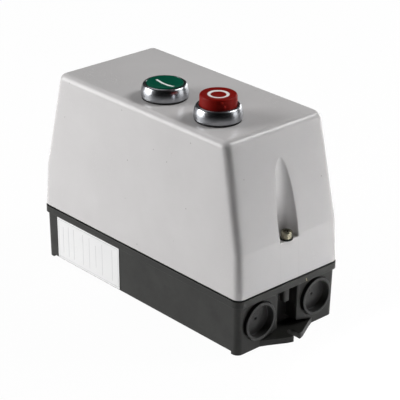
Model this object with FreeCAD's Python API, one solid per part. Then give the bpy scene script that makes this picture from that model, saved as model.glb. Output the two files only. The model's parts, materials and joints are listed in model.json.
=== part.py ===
import FreeCAD, Part
import math
import os

# Enclosed magnetic motor starter, in millimetres.
# The back plane is z = 0 and +Z points out of the wall. +X runs to the lower cable end.
# The tray carries a contactor on a mounting rail, with an overload relay plugged into it.
# The cover carries a start and a stop button that push on the contact block and on the relay.

vec = FreeCAD.Vector

# Play between pieces
slide_play = 0.3          # between pieces that move past each other
turn_play = 0.08          # radial, round a shaft or a screw
drop_in_play = 0.4        # round a piece that is dropped into its place
press_play = 0.1          # round a piece that is pressed into its place
overrun = 1.0             # how far a cutting shape runs past the face that it opens
round_sides = 24          # flat sides of the hidden round pieces and bores
small_sides = 12

# Tray
base_height = 36.9
base_wall = 2.4
base_floor = 2.5
base_draft = 0.5
base_corner = 4.0
floor_rib_height = 1.8
floor_rib_width = 1.6
floor_rib_y = 14.0
floor_rib_end_gap = 6.0   # between the ribs' ends and the end channels
flange_height = 4.4
flange_step = 1.5         # how far the flange stands proud of the tray wall
flange_reveal = 0.35      # how far the flange stands proud of the cover
foot_height = 1.8
foot_length = 5.4

# End channel over the wall screw, and the wall lug
channel_depth = 9.0
channel_wall = 1.4
channel_gap = 1.0         # between the channel's wall and the lip of a plug
flare_half_width = 20.5
flare_rise = 3.4
channel_edge = 1.1        # rounding of the channel's upright edges
lug_thickness = 3.9
lug_half_width = 22.5
lug_reach = 8.7           # beyond the tray wall
lug_tip_half_width = 3.6
lug_shoulder_reach = 1.7
lug_shoulder_half_width = 17.6
lug_nose_length = 1.0
lug_nose_half_width = 6.4
wall_screw_diameter = 5.0
wall_screw_inset = 5.1    # from the lug's tip to the screw

# Cable entries, closed by plugs
entry_diameter = 25.3
entry_margin = 2.5        # between an entry and the inside of the side wall
entry_z = 18.9
plug_play = 0.35
plug_proud = 2.0
plug_wall = 1.9
plug_recess = 4.2
plug_lip = 1.1
plug_lip_thickness = 1.6

# Gasket between tray and cover
gasket_thickness = 0.8
gasket_width = 1.8
gasket_inset = 0.5

# Cover
cover_height = 94.3
cover_wall = 2.5
cover_corner = 5.0
top_edge = 3.0
top_edge_bands = 3
rim_half_x = 92.85
rim_half_y = 42.7
kink_height = 27.9        # from the rim up to the line where the ends start to slope
kink_inset = 1.55
top_inset_x = 15.7
top_inset_y = 2.8
tongue_wall = 1.2
tongue_depth = 3.0
tongue_ledge = 1.5

# Cover screws, each in a scoop of an end face
screw_inset = 4.15
scoop_radius = 7.7
scoop_height = 26.2       # of the scoop's floor above the rim
scoop_wall = 2.2
screw_diameter = 3.0
screw_length = 40.0
screw_head_diameter = 6.8
screw_head_height = 4.8
screw_dome = 0.7
screw_slot_depth = 1.9
screw_slot_width = 1.0
screw_slot_length = 4.8
screw_washer_diameter = 7.8
screw_washer_thickness = 0.8
screw_tube_wall = 2.3
screw_boss_width = 4.8
screw_boss_height = 9.4

# Push buttons
button_pitch = 47.3
button_y = -16.6
button_hole_play = 0.25   # radial, round a button's body
button_travel = 5.2
bezel_diameter = 29.5
bezel_height = 8.7
bezel_wall = 1.2
bezel_lip = 2.6
bezel_shoulder_height = 2.6
bezel_shoulder_width = 1.9
bezel_shoulder_bands = 2
button_gasket_thickness = 0.8
button_gasket_diameter = 28.4
button_body_diameter = 21.8
button_body_depth = 17.0
button_body_wall = 1.8
button_flange_thickness = 1.4
nut_diameter = 29.0
nut_thickness = 4.6
cap_diameter = 22.5
start_cap_height = 1.9
stop_cap_height = 8.2
cap_skirt_length = 16.0
cap_skirt_wall = 1.5
rod_diameter = 5.0
rod_gap = 0.4             # between a rod and the plunger that it pushes
cap_bevel = 0.6
button_spring_wire = 0.8
button_spring_turns = 5
button_spring_play = 1.6  # between the spring and the rod inside it

# Mounting rail, 35 mm top hat
rail_width = 35.0
rail_hat_width = 27.0
rail_height = 7.5
rail_sheet = 1.0
rail_end_gap = 2.15       # between the rail's ends and the tray's side walls
rail_pad_height = 3.0
rail_pad_size = 11.0
rail_screw_inset = 6.5    # from the rail's end to its screw

# Contactor
contactor_half_length = 39.5
contactor_half_width = 22.5
contactor_wall = 2.5
housing_corner = 1.5
rail_recess = 3.0
lower_housing_height = 46.2
upper_half_length = 33.0
upper_housing_height = 35.8
pole_pitch = 10.8
pole_wall = 1.6
hook_reach = 3.3
latch_width = 12.0
latch_tail = 3.0
pry_slot_width = 0.9
contactor_travel = 6.0
buffer_thickness = 2.0
core_half_length = 24.0
core_half_thickness = 7.0
core_yoke = 8.0
core_leg_height = 18.0
core_mid_leg = 7.0        # half width of the middle leg
core_side_leg = 8.0
armature_yoke = 7.2
armature_leg_height = 9.0
ring_width = 1.6
ring_sunk = 0.2
bobbin_wall = 1.0
bobbin_height = 26.0
bobbin_flange = 1.5
bobbin_half_length = 15.2
bobbin_half_width = 15.8
winding_inset = 1.2
winding_corner = 3.0
strip_thickness = 1.5
strip_half_width = 3.0
tip_radius = 1.8
tip_height = 1.0
tip_spread = 11.5
bridge_half_length = 13.6
contact_leaf_height = 4.0
leaf_thickness = 0.7
leaf_half_width = 2.0
carrier_half_length = 5.0
carrier_foot = 3.0
carrier_roof = 1.6
indicator_height = 3.0
nub_half_length = 3.0
nub_half_width = 1.5
return_spring_gap = 0.95   # between the springs and the ends of the magnet
return_spring_radius = 2.2
return_spring_wire = 0.7
return_spring_turns = 9
spring_arm_thickness = 1.5
spring_arm_half_width = 3.2
terminal_head_radius = 3.0
terminal_head_height = 2.2
terminal_slot_width = 0.8
terminal_head_sides = 10
shank_sides = 6
terminal_shank_radius = 1.5
terminal_plate = 1.0
clamp_half = 3.4
coil_terminal_y = 15.0
coil_screw_length = 6.0
wire_mouth_half = 3.6
wire_mouth_rise = 3.0      # of a wire's mouth above the strips

# Start contact block on the contactor's front
block_half_width = 5.6
block_height = 13.0
block_wall = 1.5
block_length = 23.6
block_end = 5.3           # from the plunger's axis to the block's near end
plunger_diameter = 5.2
plunger_proud = 6.0
plunger_collar = 1.1
collar_height = 1.5
block_corner = 0.8
block_screw_inset = 4.2   # from the block's far end to its first screw
block_screw_pitch = 6.8
block_screw_well = 3.0
block_screw_head = 2.4    # radius
block_screw_head_height = 2.0
block_screw_shank = 1.1   # radius
block_screw_end = 3.0     # from the contactor's front to the screw's tip
block_strip_thickness = 0.6
block_bridge_thickness = 0.8
block_bridge_half = 2.2
block_strip_half = 0.9

# Overload relay
relay_end_gap = 12.3      # between the relay and the inside of the tray's end wall
relay_gap = 0.5
relay_length = 57.0
relay_back = 26.0
relay_ledge_length = 12.0
relay_ledge_drop = 18.0   # from the relay's front down to its terminal ledge
relay_front_rise = 9.6    # of the relay's front above the contactor's strips
relay_cover_thickness = 2.5
relay_wall = 1.8
relay_bay_depth = 9.0     # from the ledge down to the strip of a terminal
relay_bay_half = 4.0
relay_bay_wall = 1.5
relay_terminal_inset = 5.5
relay_strip_root = 2.6    # how far a terminal's strip reaches into the housing
relay_strip_inset = 2.2
screw_reach = 5.0         # of a terminal screw below its strip
reset_shelf_drop = 24.0   # from the relay's front down to the shelf that guides the plunger
reset_shelf_half = 5.0
reset_shelf_thickness = 3.0
reset_head_length = 6.0
reset_stem_end = 5.0      # how far the stem reaches through the shelf
link_pin_thickness = 2.0
link_pin_half_width = 2.0
link_pin_reach = 3.0      # of a pin beyond the contactor's terminal screw
bimetal_x = 15.0          # from the relay's near end
bimetal_half_width = 3.0
bimetal_thickness = 1.2
bimetal_tip_gap = 11.7    # between the strips' tips and the relay's front plate
heater_half_length = 4.6
heater_wall = 1.2
heater_height = 22.0
heater_foot = 9.0         # from the foot of the bimetal strip up to the heater
trip_travel = 2.0
slider_half_length = 2.5
slider_height = 6.0
slider_guide_height = 4.0
slider_guide_half = 2.0
trip_leaf = 0.7
trip_gap = 3.0
trip_drop = 4.0           # from the slider down to the lower leaf
slider_end_gap = 1.5
trip_length = 17.5
trip_foot = 4.0
pillar_half = 2.2
pillar_length = 5.0
dial_y = 6.5
dial_diameter = 12.0
dial_proud = 1.6
dial_bevel = 0.4
dial_sunk = 2.0           # how far the dial's disc reaches below the front plate
dial_stem_length = 4.0
dial_stem_radius = 2.0
dial_slot_depth = 1.4
dial_slot_width = 1.1
dial_slot_length = 9.0
dial_margin = 1.2         # between the dial and the relay's inner wall
reset_inset = 25.6        # from the relay's near end to the plunger under the stop button
reset_head_diameter = 7.0
reset_stem_diameter = 4.0

# Earth terminal on the tray floor
earth_inset_x = 13.3      # from the inside of the end wall
earth_inset_y = 12.15     # from the inside of the side wall
earth_post_height = 6.0
earth_plate_size = 11.0

# Rating plate on the tray's side
label_length = 62.7
label_end_inset = 11.2    # from the tray's end
label_foot_gap = 0.4      # above the feet
label_flange_gap = 0.9    # under the flange
label_thickness = 0.25

# Places that follow from the sizes above
flange_half_x = rim_half_x + flange_reveal
flange_half_y = rim_half_y + flange_reveal
wall_half_x = flange_half_x - flange_step
wall_half_y = flange_half_y - flange_step
foot_half_x = wall_half_x - base_draft
foot_half_y = wall_half_y - base_draft
flange_z = base_height - flange_height
floor_z = foot_height + base_floor
inner_half_x = wall_half_x - base_wall
inner_half_y = wall_half_y - base_wall
entry_y = inner_half_y - entry_margin - entry_diameter / 2
plug_radius = entry_diameter / 2 - plug_play
channel_half_width = entry_y - plug_radius - plug_lip - channel_gap - channel_wall
channel_back_x = foot_half_x - channel_depth
label_low_x = label_end_inset - foot_half_x
label_high_x = label_low_x + label_length
label_low_z = foot_height + label_foot_gap
label_high_z = flange_z - label_flange_gap
rail_half_length = inner_half_y - rail_end_gap
rail_screw_y = rail_half_length - rail_screw_inset
earth_x = earth_inset_x - inner_half_x
earth_y = inner_half_y - earth_inset_y
joint_z = base_height + slide_play + gasket_thickness
kink_z = joint_z + kink_height
top_z = joint_z + cover_height
screw_x = rim_half_x - screw_inset
scoop_z = joint_z + scoop_height
screw_tip_z = scoop_z + screw_washer_thickness - screw_length
button_hole_radius = button_body_diameter / 2 + button_hole_play
button_top_z = top_z + button_gasket_thickness
cap_bottom_z = button_top_z + button_flange_thickness + button_travel + drop_in_play
relay_end_x = inner_half_x - relay_end_gap
relay_x = relay_end_x - relay_length
contactor_x = relay_x - relay_gap - contactor_half_length
stop_x = relay_x + reset_inset
start_x = stop_x - button_pitch
rail_z = floor_z + rail_pad_height
rail_top_z = rail_z + rail_height
contactor_back = rail_top_z - rail_recess
split_z = contactor_back + lower_housing_height
front_z = split_z + upper_housing_height
chamber_z = rail_top_z + contactor_wall
core_z = chamber_z + buffer_thickness
core_top_z = core_z + core_yoke + core_leg_height
air_gap = contactor_travel + slide_play
armature_z = core_top_z + air_gap
armature_top_z = armature_z + armature_leg_height + armature_yoke
coil_z = core_z + core_yoke + slide_play
pocket_top_z = front_z - contactor_wall + drop_in_play
bridge_z = pocket_top_z - drop_in_play - carrier_roof - contact_leaf_height - strip_thickness
strip_top_z = bridge_z - tip_height - air_gap - tip_height
strip_z = strip_top_z - strip_thickness
mid_floor_z = strip_z - link_pin_thickness - slide_play
pole_ys = [(index - 1.5) * pole_pitch for index in range(4)]
upper_inner_half = upper_half_length - contactor_wall
terminal_x = upper_inner_half - clamp_half - press_play
return_spring_x = core_half_length + return_spring_gap + return_spring_radius + return_spring_wire / 2
coil_terminal_x = (upper_half_length + contactor_half_length) / 2
relay_body_end_x = relay_end_x - relay_ledge_length
relay_terminal_x = relay_end_x - relay_terminal_inset
relay_front = strip_z + relay_front_rise
relay_tub_z = relay_front - relay_cover_thickness
relay_ledge_z = relay_front - relay_ledge_drop
relay_strip_z = relay_ledge_z - relay_bay_depth
reset_shelf_z = relay_front - reset_shelf_drop
dial_x = relay_body_end_x - relay_wall - dial_margin - dial_diameter / 2
relay_inner_half = contactor_half_width - relay_wall
bimetal_z = relay_back + relay_wall
bimetal_top_z = relay_tub_z - bimetal_tip_gap
slider_z = bimetal_top_z - slider_height / 2
block_top_z = front_z + block_height
start_plunger_top_z = block_top_z + plunger_proud
reset_top_z = relay_front + plunger_proud


def box(x, y, z):
    """Box from a (low, high) pair on each axis."""
    return Part.makeBox(x[1] - x[0], y[1] - y[0], z[1] - z[0], vec(x[0], y[0], z[0]))


def span(middle, half):
    return (middle - half, middle + half)


def opened(z):
    """A range of heights with the overrun added at both ends."""
    return z[0] - overrun, z[1] + overrun


def post(radius, z, x=0.0, y=0.0):
    """Upright cylinder between two heights."""
    return Part.makeCylinder(radius, z[1] - z[0], vec(x, y, z[0]))


def bolt_shape(radius, z, x, y, sides=small_sides):
    """Upright many-sided post, for hidden round pieces, small screws and their bores."""
    corners = [vec(x + radius * math.cos(2 * math.pi * k / sides),
                   y + radius * math.sin(2 * math.pi * k / sides), z[0]) for k in range(sides)]
    return prism(corners, vec(0, 0, z[1] - z[0]))


def prism(corners, direction):
    """Flat outline carried along a direction."""
    return Part.Face(Part.makePolygon(corners + corners[:1])).extrude(direction)


def turned(profile, x, y):
    """Solid of revolution about an upright axis, from (radius, height) corners."""
    corners = [vec(x + r, y, z) for r, z in profile]
    face = Part.Face(Part.makePolygon(corners + corners[:1]))
    return face.revolve(vec(x, y, 0), vec(0, 0, 1), 360)


def joined(shapes):
    return shapes[0].multiFuse(shapes[1:]).removeSplitter() if len(shapes) > 1 else shapes[0]


def both_ends(shape):
    """The shape and its half turn about the middle axis."""
    return [shape, turned_round(shape)]


def turned_round(shape):
    copy = shape.copy()
    copy.rotate(vec(0, 0, 0), vec(0, 0, 1), 180)
    return copy


def tapered(levels):
    """Flat-sided solid through rectangles given as (z, half length, half width)."""
    wires = [Part.makePolygon([vec(-hx, -hy, z), vec(hx, -hy, z), vec(hx, hy, z),
                               vec(-hx, hy, z), vec(-hx, -hy, z)]) for z, hx, hy in levels]
    return Part.makeLoft(wires, True, True).removeSplitter()


def rounded(shape, radius):
    """The shape with its upright edges rounded."""
    edges = []
    for edge in shape.Edges:
        rise = edge.Vertexes[-1].Point - edge.Vertexes[0].Point
        if abs(rise.z) > 0.8 * rise.Length:
            edges.append(edge)
    return shape.makeFillet(radius, edges)


def slab(half_x, half_y, z, radius):
    return rounded(box((-half_x, half_x), (-half_y, half_y), z), radius)


def round_rectangle(z, half_x, half_y, radius):
    """Level rectangle with round corners."""
    edges = []
    flat_x, flat_y, bulge = half_x - radius, half_y - radius, radius / math.sqrt(2)
    for sx, sy in ((1, -1), (1, 1), (-1, 1), (-1, -1)):
        ends = [vec(sx * half_x, sy * flat_y, z), vec(sx * flat_x, sy * half_y, z)]
        if sx != sy:
            ends.reverse()
        middle = vec(sx * (flat_x + bulge), sy * (flat_y + bulge), z)
        edges.append((ends[0], middle, ends[1]))
    wire = []
    for k, (start, middle, end) in enumerate(edges):
        wire.append(Part.Arc(start, middle, end).toShape())
        wire.append(Part.LineSegment(end, edges[(k + 1) % 4][0]).toShape())
    return Part.Wire(wire)


def lofted(levels):
    """Solid through level outlines given as (z, half length, half width, corner radius)."""
    return Part.makeLoft([round_rectangle(*level) for level in levels], True, True)


def rim_ring(outer, inner, z, radius):
    """Closed rectangular band between two (half length, half width) outlines."""
    hole = slab(inner[0], inner[1], (z[0] - 1, z[1] + 1), max(radius - outer[0] + inner[0], 0.5))
    return slab(outer[0], outer[1], z, radius).cut(hole)


def coil_spring(x, y, z, radius, wire, turns):
    """Compression spring of square wire, wound with six straight runs to a turn."""
    steps = int(6 * turns)
    sections = []
    for step in range(steps + 1):
        angle = step * math.pi / 3
        height = z[0] + wire / 2 + (z[1] - z[0] - wire) * step / steps
        out = vec(math.cos(angle), math.sin(angle), 0)
        middle = vec(x, y, height) + out * radius
        half = wire / 2
        sections.append([middle + out * a + vec(0, 0, b)
                         for a, b in ((-half, -half), (half, -half), (half, half), (-half, half))])
    faces = [flat(sections[0]), flat(sections[-1])]
    for low, high in zip(sections, sections[1:]):
        for k in range(4):
            after = (k + 1) % 4
            faces.append(flat([low[k], low[after], high[after]]))
            faces.append(flat([low[k], high[after], high[k]]))
    shell = Part.Shell(faces)
    shell.sewShape()
    return Part.makeSolid(shell)


def flat(corners):
    return Part.Face(Part.makePolygon(corners + corners[:1]))


def channel_outline(x, wall):
    """End view of the screwdriver channel, which flares out just above the lug."""
    low = lug_thickness - wall
    knee = lug_thickness + flare_rise + wall / 2
    side = channel_half_width + wall
    foot = flare_half_width + wall
    right = [(side, flange_z), (side, knee), (foot, lug_thickness + wall / 2), (foot, low)]
    left = [(-y, z) for y, z in reversed(right)]
    return [vec(x, y, z) for y, z in right + left]


def channel_housing():
    """The walls that the channel has inside the tray, as a solid to keep."""
    outline = channel_outline(channel_back_x - channel_wall, channel_wall)
    raised = [vec(p.x, p.y, base_height + overrun if p.z == flange_z else p.z) for p in outline]
    return prism(raised, vec(2 * channel_depth, 0, 0))


def lug():
    tip = wall_half_x + lug_reach
    side = [(channel_back_x, lug_half_width), (foot_half_x, lug_half_width),
            (wall_half_x + lug_shoulder_reach, lug_shoulder_half_width),
            (tip - lug_nose_length, lug_nose_half_width), (tip, lug_tip_half_width)]
    corners = [vec(x, y, 0) for x, y in side] + [vec(x, -y, 0) for x, y in reversed(side)]
    plate = prism(corners, vec(0, 0, lug_thickness))
    radius = wall_screw_diameter / 2
    centre = tip - wall_screw_inset
    z = (-overrun, lug_thickness + overrun)
    slot = joined([post(radius, z, centre), box((centre, tip + overrun), (-radius, radius), z)])
    return plate.cut(slot)


def screw_boss():
    half = screw_boss_width / 2
    boss = box(span(screw_x, half), (-half, half), (flange_z - screw_boss_height, flange_z + overrun))
    return rounded(boss, half / 2)


def laid_along_x(shape, y, z):
    """An upright shape turned so that its axis runs along X at a place of the end wall."""
    shape.rotate(vec(0, 0, 0), vec(0, 1, 0), 90)
    shape.translate(vec(0, y, z))
    return shape


def entry_hole(y):
    hole = post(entry_diameter / 2, (inner_half_x - 2 * overrun, flange_half_x))
    return laid_along_x(hole, y, entry_z)


def channel_edge_cut(side):
    """What is taken off an upright edge of the channel to round it."""
    middle_x = wall_half_x - channel_edge
    middle_y = side * (channel_half_width + channel_edge)
    z = (lug_thickness + flare_rise, flange_z)
    corner = box((middle_x, flange_half_x), span(middle_y - side * channel_edge / 2, channel_edge / 2), z)
    return corner.cut(post(channel_edge, opened(z), middle_x, middle_y))


def base_end_cuts():
    """The open channel and the two cable entries of the +X end."""
    channel = prism(channel_outline(channel_back_x, 0), vec(2 * channel_depth, 0, 0))
    edges = [channel_edge_cut(side) for side in (-1, 1)]
    return [channel, entry_hole(entry_y), entry_hole(-entry_y)] + edges


def floor_ribs():
    half_length = channel_back_x - channel_wall - floor_rib_end_gap
    return [box(span(0, half_length), span(side * floor_rib_y, floor_rib_width / 2),
                (foot_height + overrun, floor_z + floor_rib_height)) for side in (-1, 1)]


def base_tray():
    outside = rounded(tapered([(0, foot_half_x, foot_half_y),
                               (flange_z + overrun / 2, wall_half_x, wall_half_y)]), base_corner)
    flange = slab(flange_half_x, flange_half_y, (flange_z, base_height), base_corner + flange_step)
    under = box(span(0, foot_half_x - foot_length), span(0, flange_half_y), (-overrun, foot_height))
    hollow = slab(inner_half_x, inner_half_y, (floor_z, base_height + overrun), base_corner - base_wall)
    hollow = hollow.cut(joined(both_ends(channel_housing())))
    body = outside.fuse(flange).cut(under).cut(hollow)
    body = body.cut(joined(base_end_cuts())).cut(turned_round(joined(base_end_cuts())))
    rooted = floor_z - overrun / 2
    pads = [box(span(contactor_x, rail_pad_size / 2), span(side * rail_screw_y, rail_pad_size / 2),
                (rooted, rail_z)) for side in (-1, 1)]
    earth_post = box(span(earth_x, earth_plate_size / 2), span(earth_y, earth_plate_size / 2),
                     (rooted, floor_z + earth_post_height))
    added = both_ends(lug()) + both_ends(screw_boss()) + floor_ribs() + pads + [earth_post]
    body = body.multiFuse(added).removeSplitter()
    bores = [bolt_shape(screw_diameter / 2 + 2 * turn_play,
                        (flange_z - screw_boss_height - overrun, base_height + overrun),
                        side * screw_x, 0) for side in (-1, 1)]
    bores += [shank_hole((foot_height + base_floor / 4, rail_z + overrun), contactor_x, side * rail_screw_y)
              for side in (-1, 1)]
    bores.append(shank_hole((floor_z, floor_z + earth_post_height + overrun), earth_x, earth_y))
    return body.cut(joined(bores))


def cable_plug(y):
    """Push-in plug of a cable entry at the +X end: a shallow cup with an inner retaining lip."""
    front = wall_half_x + plug_proud
    profile = [(0, inner_half_x), (plug_radius, inner_half_x), (plug_radius, front),
               (plug_radius - plug_wall, front), (plug_radius - plug_wall, front - plug_recess),
               (0, front - plug_recess)]
    lip = bolt_shape(plug_radius + plug_lip, (inner_half_x - plug_lip_thickness, inner_half_x), 0, 0,
                     round_sides)
    return laid_along_x(joined([turned(profile, 0, 0), lip]), y, entry_z)


def rating_plate():
    def side_y(z):
        return -foot_half_y - (wall_half_y - foot_half_y) * z / (flange_z + 0.5)
    low, high = side_y(label_low_z), side_y(label_high_z)
    corners = [vec(label_low_x, low, label_low_z), vec(label_low_x, high, label_high_z),
               vec(label_low_x, high - label_thickness, label_high_z),
               vec(label_low_x, low - label_thickness, label_low_z)]
    return prism(corners, vec(label_high_x - label_low_x, 0, 0))


def gasket():
    half_x = rim_half_x - gasket_inset
    half_y = rim_half_y - gasket_inset
    return rim_ring((half_x, half_y), (half_x - gasket_width, half_y - gasket_width),
                    (joint_z - gasket_thickness, joint_z), cover_corner)


def cover_level(z, inset):
    """Outline of the cover at a height, moved in by an inset."""
    side_y = rim_half_y - top_inset_y * (z - joint_z) / cover_height
    if z <= kink_z:
        end_x = rim_half_x - kink_inset * (z - joint_z) / kink_height
    else:
        end_x = rim_half_x - kink_inset - (top_inset_x - kink_inset) * (z - kink_z) / (top_z - kink_z)
    return z, end_x - inset, side_y - inset, cover_corner - inset / 2


def shoulder_level(angle):
    """Outline where the rounded top edge has turned by an angle."""
    z = top_z - top_edge + top_edge * math.sin(angle)
    drawn_in = top_edge * (1 - math.cos(angle))
    _, end_x, side_y, corner = cover_level(z, 0)
    return z, end_x - drawn_in, side_y - drawn_in, corner - drawn_in


def scoop(radius, low):
    """Upright hollow for a screwdriver at the +X end, round at its back and open outwards."""
    z = (low, top_z + overrun)
    return joined([post(radius, z, screw_x), box((screw_x, rim_half_x), (-radius, radius), z)])


def cover():
    angles = [math.pi / 2 * band / top_edge_bands for band in range(top_edge_bands + 1)]
    outside = lofted([cover_level(joint_z, 0), cover_level(kink_z, 0)]
                     + [shoulder_level(angle) for angle in angles])
    inside = lofted([cover_level(z, cover_wall) for z in (joint_z - overrun, kink_z, top_z - cover_wall)])
    sides = (-1, 1)
    scoops = both_ends(scoop(scoop_radius, scoop_z))
    shrouds = both_ends(scoop(scoop_radius + scoop_wall, scoop_z - scoop_wall))
    tube_radius = screw_diameter / 2 + drop_in_play + screw_tube_wall
    tubes = [bolt_shape(tube_radius, (joint_z, scoop_z), side * screw_x, 0).common(outside)
             for side in sides]
    ledge = (inner_half_x - drop_in_play, inner_half_y - drop_in_play)
    tongue_inner = (ledge[0] - tongue_wall, ledge[1] - tongue_wall)
    tongue = rim_ring(ledge, tongue_inner, (joint_z - tongue_depth, joint_z + press_play),
                      base_corner - base_wall + tongue_wall)
    bridge = rim_ring((rim_half_x - cover_wall / 2, rim_half_y - cover_wall / 2), tongue_inner,
                      (joint_z, joint_z + tongue_ledge), cover_corner - tongue_wall)
    notches = [box(span(side * inner_half_x, 2 * channel_depth),
                   span(0, channel_half_width + channel_wall + drop_in_play),
                   (joint_z - tongue_depth - overrun, joint_z)) for side in sides]
    shell = outside.cut(joined(scoops)).cut(inside.cut(joined(shrouds)))
    shell = shell.multiFuse([tongue.cut(joined(notches)), bridge]).removeSplitter()
    shell = shell.multiFuse(tubes).removeSplitter()
    holes = [bolt_shape(screw_diameter / 2 + drop_in_play, (joint_z - 2 * tongue_depth, scoop_z + overrun),
                        side * screw_x, 0) for side in sides]
    holes += [post(button_hole_radius, (top_z - 2 * cover_wall, top_z + overrun), x, button_y)
              for x in (start_x, stop_x)]
    return shell.cut(joined(holes))


def cover_screw(side):
    seat = scoop_z + screw_washer_thickness
    radius = screw_head_diameter / 2
    top = seat + screw_head_height
    head = turned([(0, seat), (radius, seat), (radius, top - screw_dome), (radius - screw_dome, top),
                   (0, top)], side * screw_x, 0)
    slot = (top - screw_slot_depth, top + overrun)
    long, narrow = screw_slot_length / 2, screw_slot_width / 2
    cross = [box(span(side * screw_x, long), (-narrow, narrow), slot),
             box(span(side * screw_x, narrow), (-long, long), slot)]
    shank = bolt_shape(screw_diameter / 2, (screw_tip_z, seat), side * screw_x, 0)
    return joined([head.cut(joined(cross)), shank])


def screw_washer(side):
    z = (scoop_z, scoop_z + screw_washer_thickness)
    ring = post(screw_washer_diameter / 2, z, side * screw_x)
    return ring.cut(bolt_shape(screw_diameter / 2 + turn_play, opened(z), side * screw_x, 0))


def button_seal(x):
    z = (top_z, button_top_z)
    hole = bolt_shape(button_body_diameter / 2 + turn_play, opened(z), x, button_y, round_sides)
    return post(button_gasket_diameter / 2, z, x, button_y).cut(hole)


def bezel(x):
    """Metal ring with a rounded shoulder, and a pocket under its lip for the body's flange."""
    outer = bezel_diameter / 2
    mouth = cap_diameter / 2 + slide_play
    low, high = button_top_z, button_top_z + bezel_height
    angles = [math.pi / 2 * band / bezel_shoulder_bands for band in range(bezel_shoulder_bands + 1)]
    shoulder = [(outer - bezel_shoulder_width * (1 - math.cos(angle)),
                 high - bezel_shoulder_height * (1 - math.sin(angle))) for angle in angles]
    profile = [(mouth, low), (outer, low)] + shoulder + [(mouth, high)]
    pocket = bolt_shape(outer - bezel_wall, (low - overrun, high - bezel_lip), x, button_y, round_sides)
    return turned(profile, x, button_y).cut(pocket)


def button_body(x):
    """Plastic body through the cover, with a bore for the cap's skirt and a floor for the rod."""
    body = button_body_diameter / 2
    low = top_z - button_body_depth
    top = button_top_z + button_flange_thickness
    barrel = bolt_shape(body, (low, top), x, button_y, round_sides)
    flange = bolt_shape(bezel_diameter / 2 - bezel_wall - turn_play, (button_top_z, top), x, button_y,
                        round_sides)
    bore = bolt_shape(body - button_body_wall, (low + button_body_wall, top + overrun), x, button_y,
                      round_sides)
    rod_hole = bolt_shape(rod_diameter / 2 + slide_play, (low - overrun, top), x, button_y)
    return joined([barrel, flange]).cut(joined([bore, rod_hole]))


def lock_nut(x):
    z = (top_z - cover_wall - nut_thickness, top_z - cover_wall)
    nut = bolt_shape(nut_diameter / 2, z, x, button_y)
    return nut.cut(bolt_shape(button_body_diameter / 2 + turn_play, opened(z), x, button_y, round_sides))


def button_cap(x, height):
    """Cap with a hollow skirt that runs in the body's bore."""
    skirt = button_body_diameter / 2 - button_body_wall - slide_play
    low, bottom = cap_bottom_z - cap_skirt_length, cap_bottom_z
    edge, top = cap_diameter / 2, cap_bottom_z + height
    disc = turned([(0, bottom), (edge, bottom), (edge, top - cap_bevel), (edge - cap_bevel, top),
                   (0, top)], x, button_y)
    tube = bolt_shape(skirt, (low, bottom), x, button_y, round_sides)
    hollow = bolt_shape(skirt - cap_skirt_wall, (low - overrun, bottom), x, button_y, round_sides)
    return joined([disc, tube.cut(hollow)])


def push_rod(x, plunger_top):
    return bolt_shape(rod_diameter / 2, (plunger_top + rod_gap, cap_bottom_z), x, button_y)


def button_spring(x):
    low = top_z - button_body_depth + button_body_wall
    radius = (rod_diameter + button_spring_wire) / 2 + button_spring_play
    return coil_spring(x, button_y, (low, cap_bottom_z), radius, button_spring_wire, button_spring_turns)


def mounting_rail():
    half, hat = rail_width / 2, rail_hat_width / 2
    inner = hat - rail_sheet
    low, lip, top = rail_z, rail_top_z - rail_sheet, rail_top_z
    right = [(inner, low + rail_sheet), (inner, top), (half, top), (half, lip), (hat, lip), (hat, low)]
    outline = right + [(-x, z) for x, z in reversed(right)]
    corners = [vec(contactor_x + x, -rail_half_length, z) for x, z in outline]
    rail = prism(corners, vec(0, 2 * rail_half_length, 0))
    holes = [shank_hole(opened((low, low + rail_sheet)), contactor_x, side * rail_screw_y)
             for side in (-1, 1)]
    return rail.cut(joined(holes))


def terminal_screw(x, y, seat, tip):
    """Slotted screw, its head on the seat and its shank down to the tip."""
    head = bolt_shape(terminal_head_radius, (seat, seat + terminal_head_height), x, y, terminal_head_sides)
    slot = box(span(x, terminal_head_radius + overrun), span(y, terminal_slot_width / 2),
               (seat + terminal_head_height / 2, seat + terminal_head_height + overrun))
    return joined([head.cut(slot), bolt_shape(terminal_shank_radius, (tip, seat), x, y, shank_sides)])


def rail_screws():
    seat = rail_z + rail_sheet
    return [terminal_screw(contactor_x, side * rail_screw_y, seat, foot_height + base_floor / 2)
            for side in (-1, 1)]


def shank_hole(z, x, y):
    return bolt_shape(terminal_shank_radius + 2 * turn_play, z, x, y, shank_sides)


def clamp_plate(x, y, low):
    z = (low, low + terminal_plate)
    return box(span(x, clamp_half), span(y, clamp_half), z).cut(shank_hole(opened(z), x, y))


def earth_terminal():
    top = floor_z + earth_post_height
    z = (top, top + terminal_plate)
    half = earth_plate_size / 2
    return box(span(earth_x, half), span(earth_y, half), z).cut(shank_hole(opened(z), earth_x, earth_y))


def earth_screw():
    return terminal_screw(earth_x, earth_y, floor_z + earth_post_height + terminal_plate,
                          floor_z + overrun / 2)


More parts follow.
